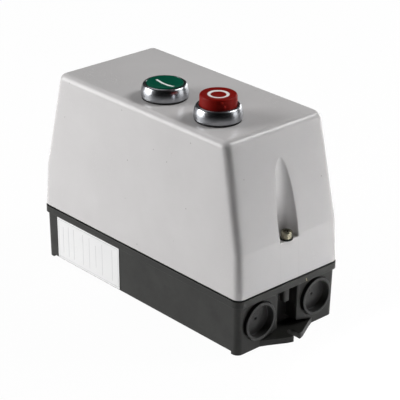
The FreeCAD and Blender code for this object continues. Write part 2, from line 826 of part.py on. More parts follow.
def contactor_lower():
    """Coil housing: rail recess with a fixed hook behind, coil chamber in front."""
    half = contactor_half_width
    low = contactor_back - overrun
    body = rounded(box(span(contactor_x, contactor_half_length), (-half, half),
                       (contactor_back, split_z)), housing_corner)
    recess = box(span(contactor_x, rail_width / 2 + slide_play), (-half - overrun, half + overrun),
                 (low, rail_top_z))
    chamber = box(span(contactor_x, contactor_half_length - 3 * contactor_wall),
                  span(0, half - contactor_wall), (chamber_z, split_z + overrun))
    lip = rail_top_z - rail_sheet - slide_play
    near = contactor_x - rail_width / 2
    hook = box((near - contactor_wall, near + hook_reach - slide_play), span(0, half - contactor_wall),
               (contactor_back, lip))
    groove = box((contactor_x + rail_width / 2 - hook_reach, contactor_x + contactor_half_length + overrun),
                 span(0, latch_width / 2 + slide_play), (low, lip + slide_play))
    body = body.cut(joined([recess, chamber, groove])).fuse(hook).removeSplitter()
    coil_screws = [shank_hole((split_z - coil_screw_length - overrun, split_z + overrun),
                              contactor_x + end * coil_terminal_x, coil_terminal_y) for end in (-1, 1)]
    return body.cut(joined(coil_screws))


def rail_latch():
    lip = rail_top_z - rail_sheet - slide_play
    z = (contactor_back + slide_play, lip)
    tail = contactor_x + contactor_half_length + latch_tail
    plate = box((contactor_x + rail_width / 2 - hook_reach + slide_play, tail),
                span(0, latch_width / 2), z)
    pry_slot = box((tail - 2 * pry_slot_width, tail - pry_slot_width), span(0, latch_width / 4), opened(z))
    return plate.cut(pry_slot)


def contactor_upper():
    """Contact housing: a pocket for each pole, a slot for the carrier, open terminal bays."""
    half = contactor_half_width
    body = rounded(box(span(contactor_x, upper_half_length), (-half, half), (split_z, front_z)),
                   housing_corner)
    pocket_half = (pole_pitch - pole_wall) / 2
    inner_y = half - contactor_wall
    cuts = [box(span(contactor_x, upper_inner_half), span(0, inner_y),
                (split_z - overrun, mid_floor_z - contactor_wall)),
            box(span(contactor_x, carrier_half_length + slide_play), span(0, inner_y - slide_play),
                (split_z - overrun, pocket_top_z)),
            box(span(contactor_x, nub_half_length + 2 * slide_play), span(0, nub_half_width + slide_play),
                (split_z, front_z + overrun))]
    for y in pole_ys:
        cuts.append(box(span(contactor_x, upper_inner_half), span(y, pocket_half),
                        (mid_floor_z, pocket_top_z)))
        cuts.append(box(span(contactor_x, upper_half_length + overrun), span(y, wire_mouth_half),
                        (mid_floor_z, strip_top_z + wire_mouth_rise)))
        for end in (-1, 1):
            bay = (terminal_x - terminal_head_radius - overrun, upper_inner_half)
            x = sorted((contactor_x + end * bay[0], contactor_x + end * bay[1]))
            cuts.append(box(x, span(y, pocket_half - drop_in_play), (strip_top_z, front_z + overrun)))
    return body.cut(joined(cuts))


def e_frame(base_z, yoke, leg, up):
    """Laminated E of the magnet: a yoke with three legs."""
    height = yoke + leg
    body = box(span(contactor_x, core_half_length), span(0, core_half_thickness),
               (base_z, base_z + height))
    legs_z = (base_z + yoke, base_z + height + overrun) if up else (base_z - overrun, base_z + leg)
    windows = [box(sorted((contactor_x + end * core_mid_leg,
                           contactor_x + end * (core_half_length - core_side_leg))),
                   span(0, core_half_thickness + overrun), legs_z) for end in (-1, 1)]
    return body.cut(joined(windows))


def fixed_core():
    body = e_frame(core_z, core_yoke, core_leg_height, True)
    return body.cut(joined([ring_groove(end) for end in (-1, 1)]))


def ring_groove(end):
    """Groove of a shading ring across the face of a side leg."""
    x = contactor_x + end * (core_half_length - core_side_leg / 2)
    return box(span(x, ring_width / 2), span(0, core_half_thickness + overrun),
               (core_top_z - ring_width, core_top_z + overrun))


def shading_ring(end):
    x = contactor_x + end * (core_half_length - core_side_leg / 2)
    return box(span(x, ring_width / 2), span(0, core_half_thickness),
               (core_top_z - ring_width, core_top_z - ring_sunk))


def core_buffer():
    return box(span(contactor_x, core_half_length), span(0, core_half_thickness), (chamber_z, core_z))


def bobbin():
    inner_x = core_mid_leg + drop_in_play
    inner_y = core_half_thickness + drop_in_play
    top = coil_z + bobbin_height
    tube = box(span(contactor_x, inner_x + bobbin_wall), span(0, inner_y + bobbin_wall), (coil_z, top))
    flanges = [box(span(contactor_x, bobbin_half_length), span(0, bobbin_half_width), z)
               for z in ((coil_z, coil_z + bobbin_flange), (top - bobbin_flange, top))]
    hole = box(span(contactor_x, inner_x), span(0, inner_y), opened((coil_z, top)))
    return joined([tube] + flanges).cut(hole)


def winding():
    inner_x = core_mid_leg + drop_in_play + bobbin_wall
    inner_y = core_half_thickness + drop_in_play + bobbin_wall
    z = (coil_z + bobbin_flange, coil_z + bobbin_height - bobbin_flange)
    outer = box(span(contactor_x, bobbin_half_length - winding_inset),
                span(0, bobbin_half_width - winding_inset), z)
    hole = box(span(contactor_x, inner_x), span(0, inner_y), opened(z))
    return rounded(outer, winding_corner).cut(hole)


def armature():
    return e_frame(armature_z, armature_yoke, armature_leg_height, False)


def carrier():
    """Insulating carriage: arms on the armature for the springs, a window for each moving contact."""
    half_y = contactor_half_width - contactor_wall - 2 * slide_play
    top = pocket_top_z - drop_in_play
    low = armature_top_z
    foot = box(span(contactor_x, carrier_half_length), span(0, core_half_thickness),
               (low, low + carrier_foot))
    arms = box(span(contactor_x, upper_inner_half - slide_play), span(0, spring_arm_half_width),
               (low, low + spring_arm_thickness))
    bar = box(span(contactor_x, carrier_half_length), span(0, half_y), (low + carrier_foot, top))
    windows = [box(span(contactor_x, carrier_half_length + overrun), span(y, strip_half_width + slide_play),
                   (bridge_z, top - carrier_roof)) for y in pole_ys]
    nub = box(span(contactor_x, nub_half_length), span(0, nub_half_width), (top, top + indicator_height))
    return joined([foot, arms, bar.cut(joined(windows)), nub])


def moving_contact(y):
    strip = box(span(contactor_x, bridge_half_length), span(y, strip_half_width),
                (bridge_z, bridge_z + strip_thickness))
    tips = [bolt_shape(tip_radius, (bridge_z - tip_height, bridge_z), contactor_x + end * tip_spread, y,
                       shank_sides) for end in (-1, 1)]
    return joined([strip] + tips)


def contact_leaf(y):
    """Bowed leaf that presses a moving contact down in its window."""
    low = bridge_z + strip_thickness
    top = low + contact_leaf_height
    half = carrier_half_length - 0.5
    profile = [(-half, low), (-half + 1, low), (0, top - leaf_thickness), (half - 1, low), (half, low),
               (1, top), (-1, top)]
    corners = [vec(contactor_x + x, y - leaf_half_width, z) for x, z in profile]
    return prism(corners, vec(0, 2 * leaf_half_width, 0))


def fixed_contact(y, end):
    inner = contactor_x + end * (tip_spread - tip_radius - overrun)
    outer = contactor_x + end * (upper_inner_half - drop_in_play)
    z = (strip_z, strip_top_z)
    strip = box(sorted((inner, outer)), span(y, strip_half_width), z)
    tip = bolt_shape(tip_radius, (strip_top_z, strip_top_z + tip_height),
                     contactor_x + end * tip_spread, y, shank_sides)
    return joined([strip, tip]).cut(shank_hole(opened(z), contactor_x + end * terminal_x, y))


def pole_screws():
    seat = strip_top_z + terminal_plate
    return [terminal_screw(contactor_x + end * terminal_x, y, seat, strip_z)
            for y in pole_ys for end in (-1, 1)]


def pole_clamps():
    return [clamp_plate(contactor_x + end * terminal_x, y, strip_top_z)
            for y in pole_ys for end in (-1, 1)]


def coil_terminals():
    return [terminal_screw(contactor_x + end * coil_terminal_x, coil_terminal_y,
                           split_z, split_z - coil_screw_length) for end in (-1, 1)]


def return_spring(end):
    return coil_spring(contactor_x + end * return_spring_x, 0, (chamber_z, armature_top_z),
                       return_spring_radius, return_spring_wire, return_spring_turns)


def start_block():
    y = span(button_y, block_half_width)
    x = (start_x + block_end - block_length, start_x + block_end)
    body = rounded(box(x, y, (front_z, block_top_z)), block_corner)
    wall = block_wall
    inner_y = span(button_y, block_half_width - wall)
    well = box((start_x - block_end + wall, x[1] - wall), inner_y, (front_z - overrun, block_top_z - wall))
    groove = box((x[0] + wall, start_x), inner_y, (front_z - overrun, front_z + overrun))
    mouth = bolt_shape(plunger_diameter / 2 + slide_play, (front_z, block_top_z + overrun),
                       start_x, button_y)
    cuts = [well, groove, mouth]
    for place in block_screw_places():
        cuts.append(bolt_shape(block_screw_head + drop_in_play,
                               (block_top_z - block_screw_well, block_top_z + overrun), place, button_y))
        cuts.append(bolt_shape(block_screw_shank + press_play,
                               (front_z + block_screw_end - overrun, block_top_z), place, button_y,
                               shank_sides))
    return body.cut(joined(cuts))


def block_screw_places():
    first = start_x + block_end - block_length + block_screw_inset
    return [first, first + block_screw_pitch]


def block_screws():
    screws = []
    seat = block_top_z - block_screw_well
    top = seat + block_screw_head_height
    for x in block_screw_places():
        head = bolt_shape(block_screw_head, (seat, top), x, button_y)
        slot = box(span(x, block_screw_head + overrun), span(button_y, terminal_slot_width / 2),
                   (seat + block_screw_head_height / 2, top + overrun))
        shank = bolt_shape(block_screw_shank, (front_z + block_screw_end, seat), x, button_y, shank_sides)
        screws.append(joined([head.cut(slot), shank]))
    return screws


def start_plunger():
    radius = plunger_diameter / 2
    roof = block_top_z - block_wall - slide_play
    stem = bolt_shape(radius, (front_z + button_travel + 2 * slide_play, start_plunger_top_z),
                      start_x, button_y)
    collar = bolt_shape(radius + plunger_collar, (roof - collar_height, roof), start_x, button_y)
    return joined([stem, collar])


def start_contact_parts():
    """Moving cross strip on the plunger, and the two fixed strips that it bridges."""
    low = front_z + button_travel + 3 * slide_play
    half = block_half_width - block_wall - slide_play
    z = (low, low + block_bridge_thickness)
    moving = box(span(start_x, block_bridge_half), span(button_y, half), z)
    moving = moving.cut(bolt_shape(plunger_diameter / 2, opened(z), start_x, button_y))
    far = start_x + block_end - block_length + block_wall + slide_play
    fixed = [box((far, start_x + block_bridge_half), span(button_y + side * (half - 1), block_strip_half),
                 (front_z, front_z + block_strip_thickness)) for side in (-1, 1)]
    return moving, fixed


def relay_tub():
    """Relay housing: a deep tub with a terminal ledge at its lower end."""
    half = contactor_half_width
    profile = [(relay_x, relay_back), (relay_end_x, relay_back), (relay_end_x, relay_ledge_z),
               (relay_body_end_x, relay_ledge_z), (relay_body_end_x, relay_tub_z), (relay_x, relay_tub_z)]
    body = prism([vec(x, -half, z) for x, z in profile], vec(0, 2 * half, 0))
    inner_end = relay_body_end_x - relay_wall
    hollow = box((relay_x + relay_wall, inner_end), span(0, relay_inner_half),
                 (relay_back + relay_wall, relay_tub_z + overrun))
    cuts = [hollow]
    strip = (relay_strip_z, relay_strip_z + strip_thickness)
    for y in pole_ys:
        cuts.append(box((relay_body_end_x + relay_bay_wall, relay_end_x + overrun), span(y, relay_bay_half),
                        (relay_strip_z, relay_ledge_z + overrun)))
        cuts.append(box((relay_body_end_x - relay_strip_root - press_play, relay_end_x - overrun),
                        span(y, strip_half_width + press_play), strip))
        cuts.append(shank_hole((relay_strip_z - screw_reach - overrun, relay_ledge_z), relay_terminal_x, y))
    for y in pole_ys[1:]:
        cuts.append(box((relay_x - overrun, relay_x + relay_wall + overrun),
                        span(y, link_pin_half_width + press_play), (strip_z - link_pin_thickness, strip_z)))
    body = body.cut(joined(cuts))
    wall = -relay_inner_half - relay_wall / 4
    shelf = box(span(stop_x, reset_shelf_half), (wall, button_y + reset_shelf_half),
                (reset_shelf_z - reset_shelf_thickness, reset_shelf_z))
    shelf = shelf.cut(bolt_shape(reset_stem_diameter / 2 + slide_play, (relay_back, relay_front),
                                 stop_x, button_y))
    guide_z = (slider_z - slider_guide_height, slider_z - slide_play)
    guide_x = span(relay_x + bimetal_x, slider_guide_half)
    guides = [box(guide_x, (wall, pole_ys[1] - strip_half_width - slider_guide_height), guide_z),
              box(guide_x, (relay_inner_half - relay_wall, -wall), guide_z)]
    pillar = box((inner_end - pillar_length, inner_end + relay_wall / 4), span(0, pillar_half),
                 (relay_back + overrun, slider_z - trip_drop))
    return joined([body, shelf, pillar] + guides)


def relay_cover():
    z = (relay_tub_z, relay_front)
    plate = rounded(box((relay_x, relay_body_end_x), span(0, contactor_half_width), z), housing_corner)
    holes = [bolt_shape(reset_head_diameter / 2 + slide_play, opened(z), stop_x, button_y),
             post(dial_diameter / 2 + slide_play, opened(z), dial_x, dial_y)]
    return plate.cut(joined(holes))


def current_dial():
    """Setting dial with a screwdriver slot and a pointer notch."""
    radius = dial_diameter / 2
    low, top = relay_tub_z - dial_sunk, relay_front + dial_proud
    disc = turned([(0, low), (radius, low), (radius, top - dial_bevel), (radius - dial_bevel, top),
                   (0, top)], dial_x, dial_y)
    stem = bolt_shape(dial_stem_radius, (low - dial_stem_length, low), dial_x, dial_y)
    slot_z = (top - dial_slot_depth, top + overrun)
    slot = box(span(dial_x, dial_slot_length / 2), span(dial_y, dial_slot_width / 2), slot_z)
    notch = box((dial_x + radius - dial_slot_depth, dial_x + radius + overrun),
                span(dial_y, dial_slot_width / 2), slot_z)
    return joined([disc.cut(joined([slot, notch])), stem])


def reset_plunger():
    step = relay_front - reset_head_length
    stem = bolt_shape(reset_stem_diameter / 2, (reset_shelf_z - reset_stem_end, step), stop_x, button_y)
    head = bolt_shape(reset_head_diameter / 2, (step, reset_top_z), stop_x, button_y)
    return joined([stem, head])


def link_pins():
    z = (strip_z - link_pin_thickness, strip_z)
    x = (contactor_x + terminal_x - link_pin_reach, relay_x + bimetal_x - heater_half_length - press_play)
    return [box(x, span(y, link_pin_half_width), z) for y in pole_ys[1:]]


def bimetal(y):
    return box(span(relay_x + bimetal_x, bimetal_half_width), span(y, bimetal_thickness / 2),
               (bimetal_z, bimetal_top_z))


def heater(y):
    x = relay_x + bimetal_x
    z = (bimetal_z + heater_foot, bimetal_z + heater_foot + heater_height)
    thick = bimetal_thickness / 2 + press_play
    sleeve = box(span(x, heater_half_length), span(y, thick + heater_wall), z)
    return sleeve.cut(box(span(x, bimetal_half_width + press_play), span(y, thick), opened(z)))


def trip_slider():
    """Notched bar pushed sideways by the bending strips."""
    y = (-relay_inner_half + slider_end_gap, relay_inner_half - trip_travel - slide_play)
    bar = box(span(relay_x + bimetal_x, slider_half_length), y, (slider_z, slider_z + slider_height))
    notch_half = bimetal_thickness / 2 + trip_travel + drop_in_play
    notches = [box(span(relay_x + bimetal_x, slider_half_length + overrun), span(pole, notch_half),
                   (slider_z - overrun, bimetal_top_z + slide_play)) for pole in pole_ys[1:]]
    return bar.cut(joined(notches))


def trip_contacts():
    """Two leaves on the relay's pillar, held apart by an insulating foot."""
    end = relay_body_end_x - relay_wall - slide_play
    x = (end - trip_length, end)
    y = span(0, pillar_half - slide_play)
    low = slider_z - trip_drop
    foot_z = (low + trip_leaf, low + trip_leaf + trip_gap)
    return [box(x, y, (low, foot_z[0])), box((end - trip_foot, end), y, foot_z),
            box(x, y, (foot_z[1], foot_z[1] + trip_leaf))]


def relay_strips():
    strips = []
    z = (relay_strip_z, relay_strip_z + strip_thickness)
    for y in pole_ys:
        bar = box((relay_body_end_x - relay_strip_root, relay_end_x - relay_strip_inset),
                  span(y, strip_half_width), z)
        strips.append(bar.cut(shank_hole(opened(z), relay_terminal_x, y)))
    return strips


def relay_screws():
    seat = relay_strip_z + strip_thickness + terminal_plate
    return [terminal_screw(relay_terminal_x, y, seat, relay_strip_z - screw_reach) for y in pole_ys]


def relay_clamps():
    return [clamp_plate(relay_terminal_x, y, relay_strip_z + strip_thickness) for y in pole_ys]


def nodes():
    """Every node by name, each a list of separate solids."""
    moving_start, fixed_start = start_contact_parts()
    plugs = {"plug_lower_left": cable_plug(-entry_y), "plug_lower_right": cable_plug(entry_y)}
    plugs["plug_upper_left"] = turned_round(plugs["plug_lower_right"])
    plugs["plug_upper_right"] = turned_round(plugs["plug_lower_left"])
    caps = {"start": button_cap(start_x, start_cap_height), "stop": button_cap(stop_x, stop_cap_height)}
    made = {"base_tray": [base_tray()], "cover": [cover()], "cover_gasket": [gasket()],
            "rating_plate": [rating_plate()],
            "cover_screw_lower": [cover_screw(1)], "cover_screw_upper": [cover_screw(-1)],
            "screw_washers": [screw_washer(1), screw_washer(-1)],
            "mounting_rail": [mounting_rail()], "tray_screws": rail_screws() + [earth_screw()],
            "earth_terminal": [earth_terminal()],
            "contactor_coil_housing": [contactor_lower()],
            "contactor_contact_housing": [contactor_upper()],
            "rail_latch": [rail_latch()], "core_buffer": [core_buffer()],
            "fixed_core": [fixed_core()], "shading_rings": [shading_ring(1), shading_ring(-1)],
            "coil_bobbin": [bobbin()], "coil_winding": [winding()], "armature": [armature()],
            "contact_carrier": [carrier()],
            "moving_contacts": [moving_contact(y) for y in pole_ys],
            "contact_springs": [contact_leaf(y) for y in pole_ys],
            "fixed_contacts": [fixed_contact(y, end) for y in pole_ys for end in (-1, 1)],
            "terminal_clamps": pole_clamps() + relay_clamps(),
            "terminal_screws": pole_screws() + coil_terminals() + relay_screws(),
            "contactor_return_springs": [return_spring(1), return_spring(-1)],
            "start_block": [start_block()], "start_block_screws": block_screws(),
            "start_plunger": [start_plunger()], "start_moving_contact": [moving_start],
            "start_fixed_contacts": fixed_start,
            "relay_housing": [relay_tub()], "relay_front": [relay_cover()],
            "relay_link_pins": link_pins(), "current_dial": [current_dial()],
            "relay_stop_plunger": [reset_plunger()],
            "bimetal_strips": [bimetal(y) for y in pole_ys[1:]],
            "heater_sleeves": [heater(y) for y in pole_ys[1:]],
            "trip_slider": [trip_slider()], "trip_contacts": trip_contacts(),
            "relay_contact_strips": relay_strips()}
    for name, solid in plugs.items():
        made[name] = [solid]
    for name, x, plunger_top in (("start", start_x, start_plunger_top_z), ("stop", stop_x, reset_top_z)):
        made[name + "_cap"] = [caps[name]]
        made[name + "_rod"] = [push_rod(x, plunger_top)]
        made[name + "_bezel"] = [bezel(x)]
        made[name + "_seal"] = [button_seal(x)]
        made[name + "_body"] = [button_body(x)]
        made[name + "_lock_nut"] = [lock_nut(x)]
        made[name + "_spring"] = [button_spring(x)]
    return made


def main():
    os.makedirs("parts", exist_ok=True)
    for name, solids in nodes().items():
        shape = solids[0] if len(solids) == 1 else Part.makeCompound(solids)
        shape.exportStep("parts/" + name + ".step")


main()
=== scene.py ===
import json
import math

import bmesh
import bpy
import numpy as np
from mathutils import Matrix, Vector


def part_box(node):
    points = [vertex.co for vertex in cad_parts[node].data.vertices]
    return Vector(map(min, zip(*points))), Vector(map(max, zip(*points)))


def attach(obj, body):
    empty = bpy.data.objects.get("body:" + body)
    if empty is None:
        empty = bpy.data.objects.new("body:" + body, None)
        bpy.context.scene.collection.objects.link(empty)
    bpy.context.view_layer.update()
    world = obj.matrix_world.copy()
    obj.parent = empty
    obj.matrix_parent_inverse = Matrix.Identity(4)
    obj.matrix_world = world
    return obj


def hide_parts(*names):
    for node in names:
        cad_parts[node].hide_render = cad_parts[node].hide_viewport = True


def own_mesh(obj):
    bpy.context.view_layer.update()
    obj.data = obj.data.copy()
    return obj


# Enclosed motor starter, dressed for rendering. Everything is in metres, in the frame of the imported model.
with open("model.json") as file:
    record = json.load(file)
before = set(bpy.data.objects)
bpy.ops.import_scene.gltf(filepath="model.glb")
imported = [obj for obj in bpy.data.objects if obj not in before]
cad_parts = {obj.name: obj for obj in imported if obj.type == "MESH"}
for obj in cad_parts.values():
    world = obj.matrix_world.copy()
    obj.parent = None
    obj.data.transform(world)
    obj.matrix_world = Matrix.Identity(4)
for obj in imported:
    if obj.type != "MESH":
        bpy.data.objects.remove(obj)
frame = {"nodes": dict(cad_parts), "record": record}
print("frame loaded:", len(frame["nodes"]), "nodes")
mm = 0.001


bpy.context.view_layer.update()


def middle(node):
    low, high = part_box(node)
    return (low + high) / 2


# Small helpers for material nodes

def join(tree, source, target):
    tree.links.new(source, target)


def feed(tree, socket, item):
    if isinstance(item, (int, float)):
        socket.default_value = item
    elif isinstance(item, (tuple, list)):
        socket.default_value = (*item, 1.0) if len(socket.default_value) == 4 else item
    else:
        join(tree, item, socket)


def calc(tree, operation, *items):
    node = tree.nodes.new("ShaderNodeMath")
    node.operation = operation
    for socket, item in zip(node.inputs, items):
        feed(tree, socket, item)
    return node.outputs[0]


def spread(tree, value, low, high, first=0.0, last=1.0, smooth=False):
    node = tree.nodes.new("ShaderNodeMapRange")
    if smooth:
        node.interpolation_type = "SMOOTHSTEP"
    for name, number in (("From Min", low), ("From Max", high), ("To Min", first), ("To Max", last)):
        node.inputs[name].default_value = number
    feed(tree, node.inputs["Value"], value)
    return node.outputs["Result"]


def mixColors(tree, factor, first, second):
    node = tree.nodes.new("ShaderNodeMix")
    node.data_type = "RGBA"
    for index, item in ((0, factor), (6, first), (7, second)):
        feed(tree, node.inputs[index], item)
    return node.outputs[2]


def placeNode(tree, scale=(1, 1, 1), shift=(0, 0, 0)):
    # Object coordinates, stretched and then moved
    source = tree.nodes.new("ShaderNodeTexCoord")
    mapping = tree.nodes.new("ShaderNodeMapping")
    mapping.inputs["Scale"].default_value = scale
    mapping.inputs["Location"].default_value = shift
    join(tree, source.outputs["Object"], mapping.inputs["Vector"])
    return mapping.outputs["Vector"]


def splitPlace(tree, shift=(0, 0, 0)):
    parts = tree.nodes.new("ShaderNodeSeparateXYZ")
    join(tree, placeNode(tree, shift=shift), parts.inputs[0])
    return parts.outputs[0], parts.outputs[1], parts.outputs[2]


def product(tree, *items):
    # All the factors multiplied together
    whole = items[0]
    for item in items[1:]:
        whole = calc(tree, "MULTIPLY", whole, item)
    return whole


def absolute(tree, item):
    return calc(tree, "ABSOLUTE", item)


def distance(tree, first, second):
    # Distance from an axis: the root of the summed squares
    squares = [calc(tree, "POWER", item, 2.0) for item in (first, second)]
    return calc(tree, "SQRT", calc(tree, "ADD", *squares))


def noise(tree, vector, scale, detail=3.0, rough=0.5):
    node = tree.nodes.new("ShaderNodeTexNoise")
    node.inputs["Scale"].default_value = scale
    node.inputs["Detail"].default_value = detail
    node.inputs["Roughness"].default_value = rough
    join(tree, vector, node.inputs["Vector"])
    return node.outputs["Fac"]


edgeForm = {"samples": 6, "wornLitRange": (0.99, 0.86)}


def roundedEdges(tree, radius):
    # Normal of the surface with its edges rounded, and a mask that is 1 on those edges, for edge colour that is
    # part rubbed wear and part painted highlight
    bevel = tree.nodes.new("ShaderNodeBevel")
    bevel.samples = edgeForm["samples"]
    bevel.inputs["Radius"].default_value = radius
    flat = tree.nodes.new("ShaderNodeNewGeometry")
    dot = tree.nodes.new("ShaderNodeVectorMath")
    dot.operation = "DOT_PRODUCT"
    join(tree, bevel.outputs["Normal"], dot.inputs[0])
    join(tree, flat.outputs["Normal"], dot.inputs[1])
    return bevel.outputs["Normal"], spread(tree, dot.outputs["Value"], *edgeForm["wornLitRange"])


def newMaterial(name):
    material = bpy.data.materials.new(name)
    material.use_nodes = True
    tree = material.node_tree
    return material, tree, tree.nodes["Principled BSDF"]


surfaceForm = {"blotchRange": (0.35, 0.65), "fineRange": (0.3, 0.7), "speckRange": (0.70, 0.76),
               "speckShift": (3, 1, 2)}


def surface(name, look):
    # Blotched colour, uneven gloss, fine grain, and edges lightened partly as rubbed wear and partly as a
    # painted highlight. The grain is a bump over the rounded edges.
    material, tree, shader = newMaterial(name)
    place = placeNode(tree, look.get("stretch", (1, 1, 1)))
    blotch = spread(tree, noise(tree, place, look["blotchScale"], 4, 0.6), *surfaceForm["blotchRange"])
    fine = noise(tree, place, look["grainScale"], 2, 0.6)
    color = mixColors(tree, blotch, look["color"], look["secondColor"])
    speckPlace = placeNode(tree, shift=surfaceForm["speckShift"])
    speck = spread(tree, noise(tree, speckPlace, look["speckScale"], 0), *surfaceForm["speckRange"])
    color = mixColors(tree, product(tree, speck, look["speck"]), color, look["speckColor"])
    gloss = calc(tree, "ADD", spread(tree, blotch, 0, 1, *look["roughness"]),
                 spread(tree, fine, *surfaceForm["fineRange"], -look["glossGrain"], look["glossGrain"]))
    normal = None
    if look["edge"]:
        normal, wornAndLit = roundedEdges(tree, look["edge"])
        # Lighter edges: part rubbed wear, part painted highlight
        color = mixColors(tree, product(tree, wornAndLit, look["wear"]), color, look["edgeWearAndHighlightColor"])
    if "mark" in look:
        color = look["mark"](tree, color)
    bump = tree.nodes.new("ShaderNodeBump")
    bump.inputs["Strength"].default_value = look["bump"]
    bump.inputs["Distance"].default_value = look["grainDepth"]
    join(tree, fine, bump.inputs["Height"])
    if normal:
        join(tree, normal, bump.inputs["Normal"])
    join(tree, color, shader.inputs["Base Color"])
    join(tree, gloss, shader.inputs["Roughness"])
    join(tree, bump.outputs["Normal"], shader.inputs["Normal"])
    shader.inputs["Metallic"].default_value = look.get("metal", 0.0)
    shader.inputs["Specular IOR Level"].default_value = look.get("specular", 0.5)
    return material


plainPlastic = {"blotchScale": 45, "grainScale": 2600, "speckScale": 900, "speck": 0.25, "bump": 0.25,
                "glossGrain": 0.03, "grainDepth": 0.06 * mm, "edge": 0.3 * mm, "wear": 0.35,
                "roughness": (0.36, 0.46)}
plainMetal = {"blotchScale": 60, "grainScale": 1800, "speckScale": 700, "speck": 0.2, "bump": 0.2,
              "glossGrain": 0.03, "grainDepth": 0.04 * mm, "edge": 0.2 * mm, "wear": 0.4,
              "roughness": (0.26, 0.38), "metal": 1.0}


def plastic(color, second, wornAndLit, **more):
    colors = {"color": color, "secondColor": second, "edgeWearAndHighlightColor": wornAndLit, "speckColor": second}
    return {**plainPlastic, **colors, **more}


def metal(color, second, wornAndLit, **more):
    colors = {"color": color, "secondColor": second, "edgeWearAndHighlightColor": wornAndLit, "speckColor": second}
    return {**plainMetal, **colors, **more}


# Marks that a finish carries. fade is how far an outline runs from full to nothing.

barForm = {"halfLength": 8.0 * mm, "endFade": 0.2 * mm, "halfWidth": 0.9 * mm, "fade": 0.15 * mm,
           "depth": 1.85 * mm, "paint": (0.86, 0.90, 0.88)}


def barMark(tree, color):
    # White bar along the length of the start cap
    centre, high = middle("start_cap"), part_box("start_cap")[1]
    x, y, z = splitPlace(tree, (-centre.x, -centre.y, -high.z))
    along = spread(tree, absolute(tree, x), barForm["halfLength"], barForm["halfLength"] - barForm["endFade"])
    across = spread(tree, absolute(tree, y), barForm["halfWidth"], barForm["halfWidth"] - barForm["fade"])
    up = spread(tree, z, -barForm["depth"], -barForm["depth"] + barForm["fade"])
    return mixColors(tree, product(tree, along, across, up), color, barForm["paint"])


ringForm = {"inner": 4.55 * mm, "outer": 6.65 * mm, "fade": 0.25 * mm, "depth": 1.2 * mm,
            "depthFade": 0.2 * mm, "paint": (0.86, 0.84, 0.83)}


def ringMark(tree, color):
    # White ring on the top of the stop cap
    centre, high = middle("stop_cap"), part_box("stop_cap")[1]
    x, y, z = splitPlace(tree, (-centre.x, -centre.y, -high.z))
    radius = distance(tree, x, y)
    inner = spread(tree, radius, ringForm["inner"], ringForm["inner"] + ringForm["fade"])
    outer = spread(tree, radius, ringForm["outer"], ringForm["outer"] - ringForm["fade"])
    up = spread(tree, z, -ringForm["depth"], -ringForm["depth"] + ringForm["depthFade"])
    return mixColors(tree, product(tree, inner, outer, up), color, ringForm["paint"])


# Painted shade for the gap behind each plug's flange: how far behind the front it starts, the radius it lies
# outside, and its near-black colour
neckShadeForm = {"behind": 0.55 * mm, "fade": 0.1 * mm, "radius": 10.9 * mm, "radiusFade": 0.2 * mm,
              "color": (0.004, 0.004, 0.004)}


def plugNeckShade(tree, color):
    # Painted shade: the plug's neck and back lip, behind its front flange, are coloured near black for the
    # shaded gap round the flange
    front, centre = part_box("plug_lower_left")[1].x - neckShadeForm["behind"], middle("plug_lower_right")
    x, y, z = splitPlace(tree)
    behind = spread(tree, absolute(tree, x), front, front - neckShadeForm["fade"])
    aside = calc(tree, "SUBTRACT", absolute(tree, y), centre.y)
    radius = distance(tree, aside, calc(tree, "SUBTRACT", z, centre.z))
    outside = spread(tree, radius, neckShadeForm["radius"], neckShadeForm["radius"] + neckShadeForm["radiusFade"])
    return mixColors(tree, product(tree, behind, outside), color, neckShadeForm["color"])


dotForm = {"cells": 105, "range": (0.045, 0.022), "strength": 0.75, "color": (0.10, 0.09, 0.075)}
# Painted shade for the sink marks below the scoops: how far below they start, line width, strength and colour
sinkShadeForm = {"below": 1 * mm, "range": (0.5 * mm, 0.1 * mm), "strength": 0.06, "color": (0.3, 0.3, 0.29)}


def coverSpecksAndShade(tree, color):
    # A few dark specks, and two faint lines of painted shade below each scoop's sides, standing in for sink
    # marks
    x, y, z = splitPlace(tree)
    cells = tree.nodes.new("ShaderNodeTexVoronoi")
    cells.inputs["Scale"].default_value = dotForm["cells"]
    join(tree, placeNode(tree), cells.inputs["Vector"])
    dots = spread(tree, cells.outputs["Distance"], *dotForm["range"])
    off = absolute(tree, calc(tree, "SUBTRACT", absolute(tree, y), coverForm["scoopRadius"]))
    low = product(tree, calc(tree, "LESS_THAN", z, scoopZ - sinkShadeForm["below"]),
                  calc(tree, "GREATER_THAN", absolute(tree, x), screwX))
    # Painted shade along the sink marks
    line = product(tree, spread(tree, off, *sinkShadeForm["range"], 0, sinkShadeForm["strength"]), low)
    color = mixColors(tree, line, color, sinkShadeForm["color"])
    return mixColors(tree, product(tree, dots, dotForm["strength"]), color, dotForm["color"])


scratchForm = {"aside": 9.5 * mm, "below": 4.2 * mm, "lean": 0.35, "halfWidth": 0.35 * mm, "fade": 0.2 * mm,
               "halfLength": 1.9 * mm, "endFade": 0.4 * mm, "strength": 0.8, "color": (0.42, 0.36, 0.22)}


def trayMark(tree, color):
    # A short pale scratch on the flange beside a plug, leaning a little to one side
    form = scratchForm
    shiftY, shiftZ = form["aside"] - middle("plug_lower_right").y, form["below"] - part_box("cover_gasket")[0].z
    x, y, z = splitPlace(tree, (0, shiftY, shiftZ))
    bend = calc(tree, "ADD", y, product(tree, z, form["lean"]))
    across = spread(tree, absolute(tree, bend), form["halfWidth"], form["halfWidth"] - form["fade"])
    along = spread(tree, absolute(tree, z), form["halfLength"], form["halfLength"] - form["endFade"])
    end = calc(tree, "GREATER_THAN", x, screwX)
    return mixColors(tree, product(tree, across, along, end, form["strength"]), color, form["color"])


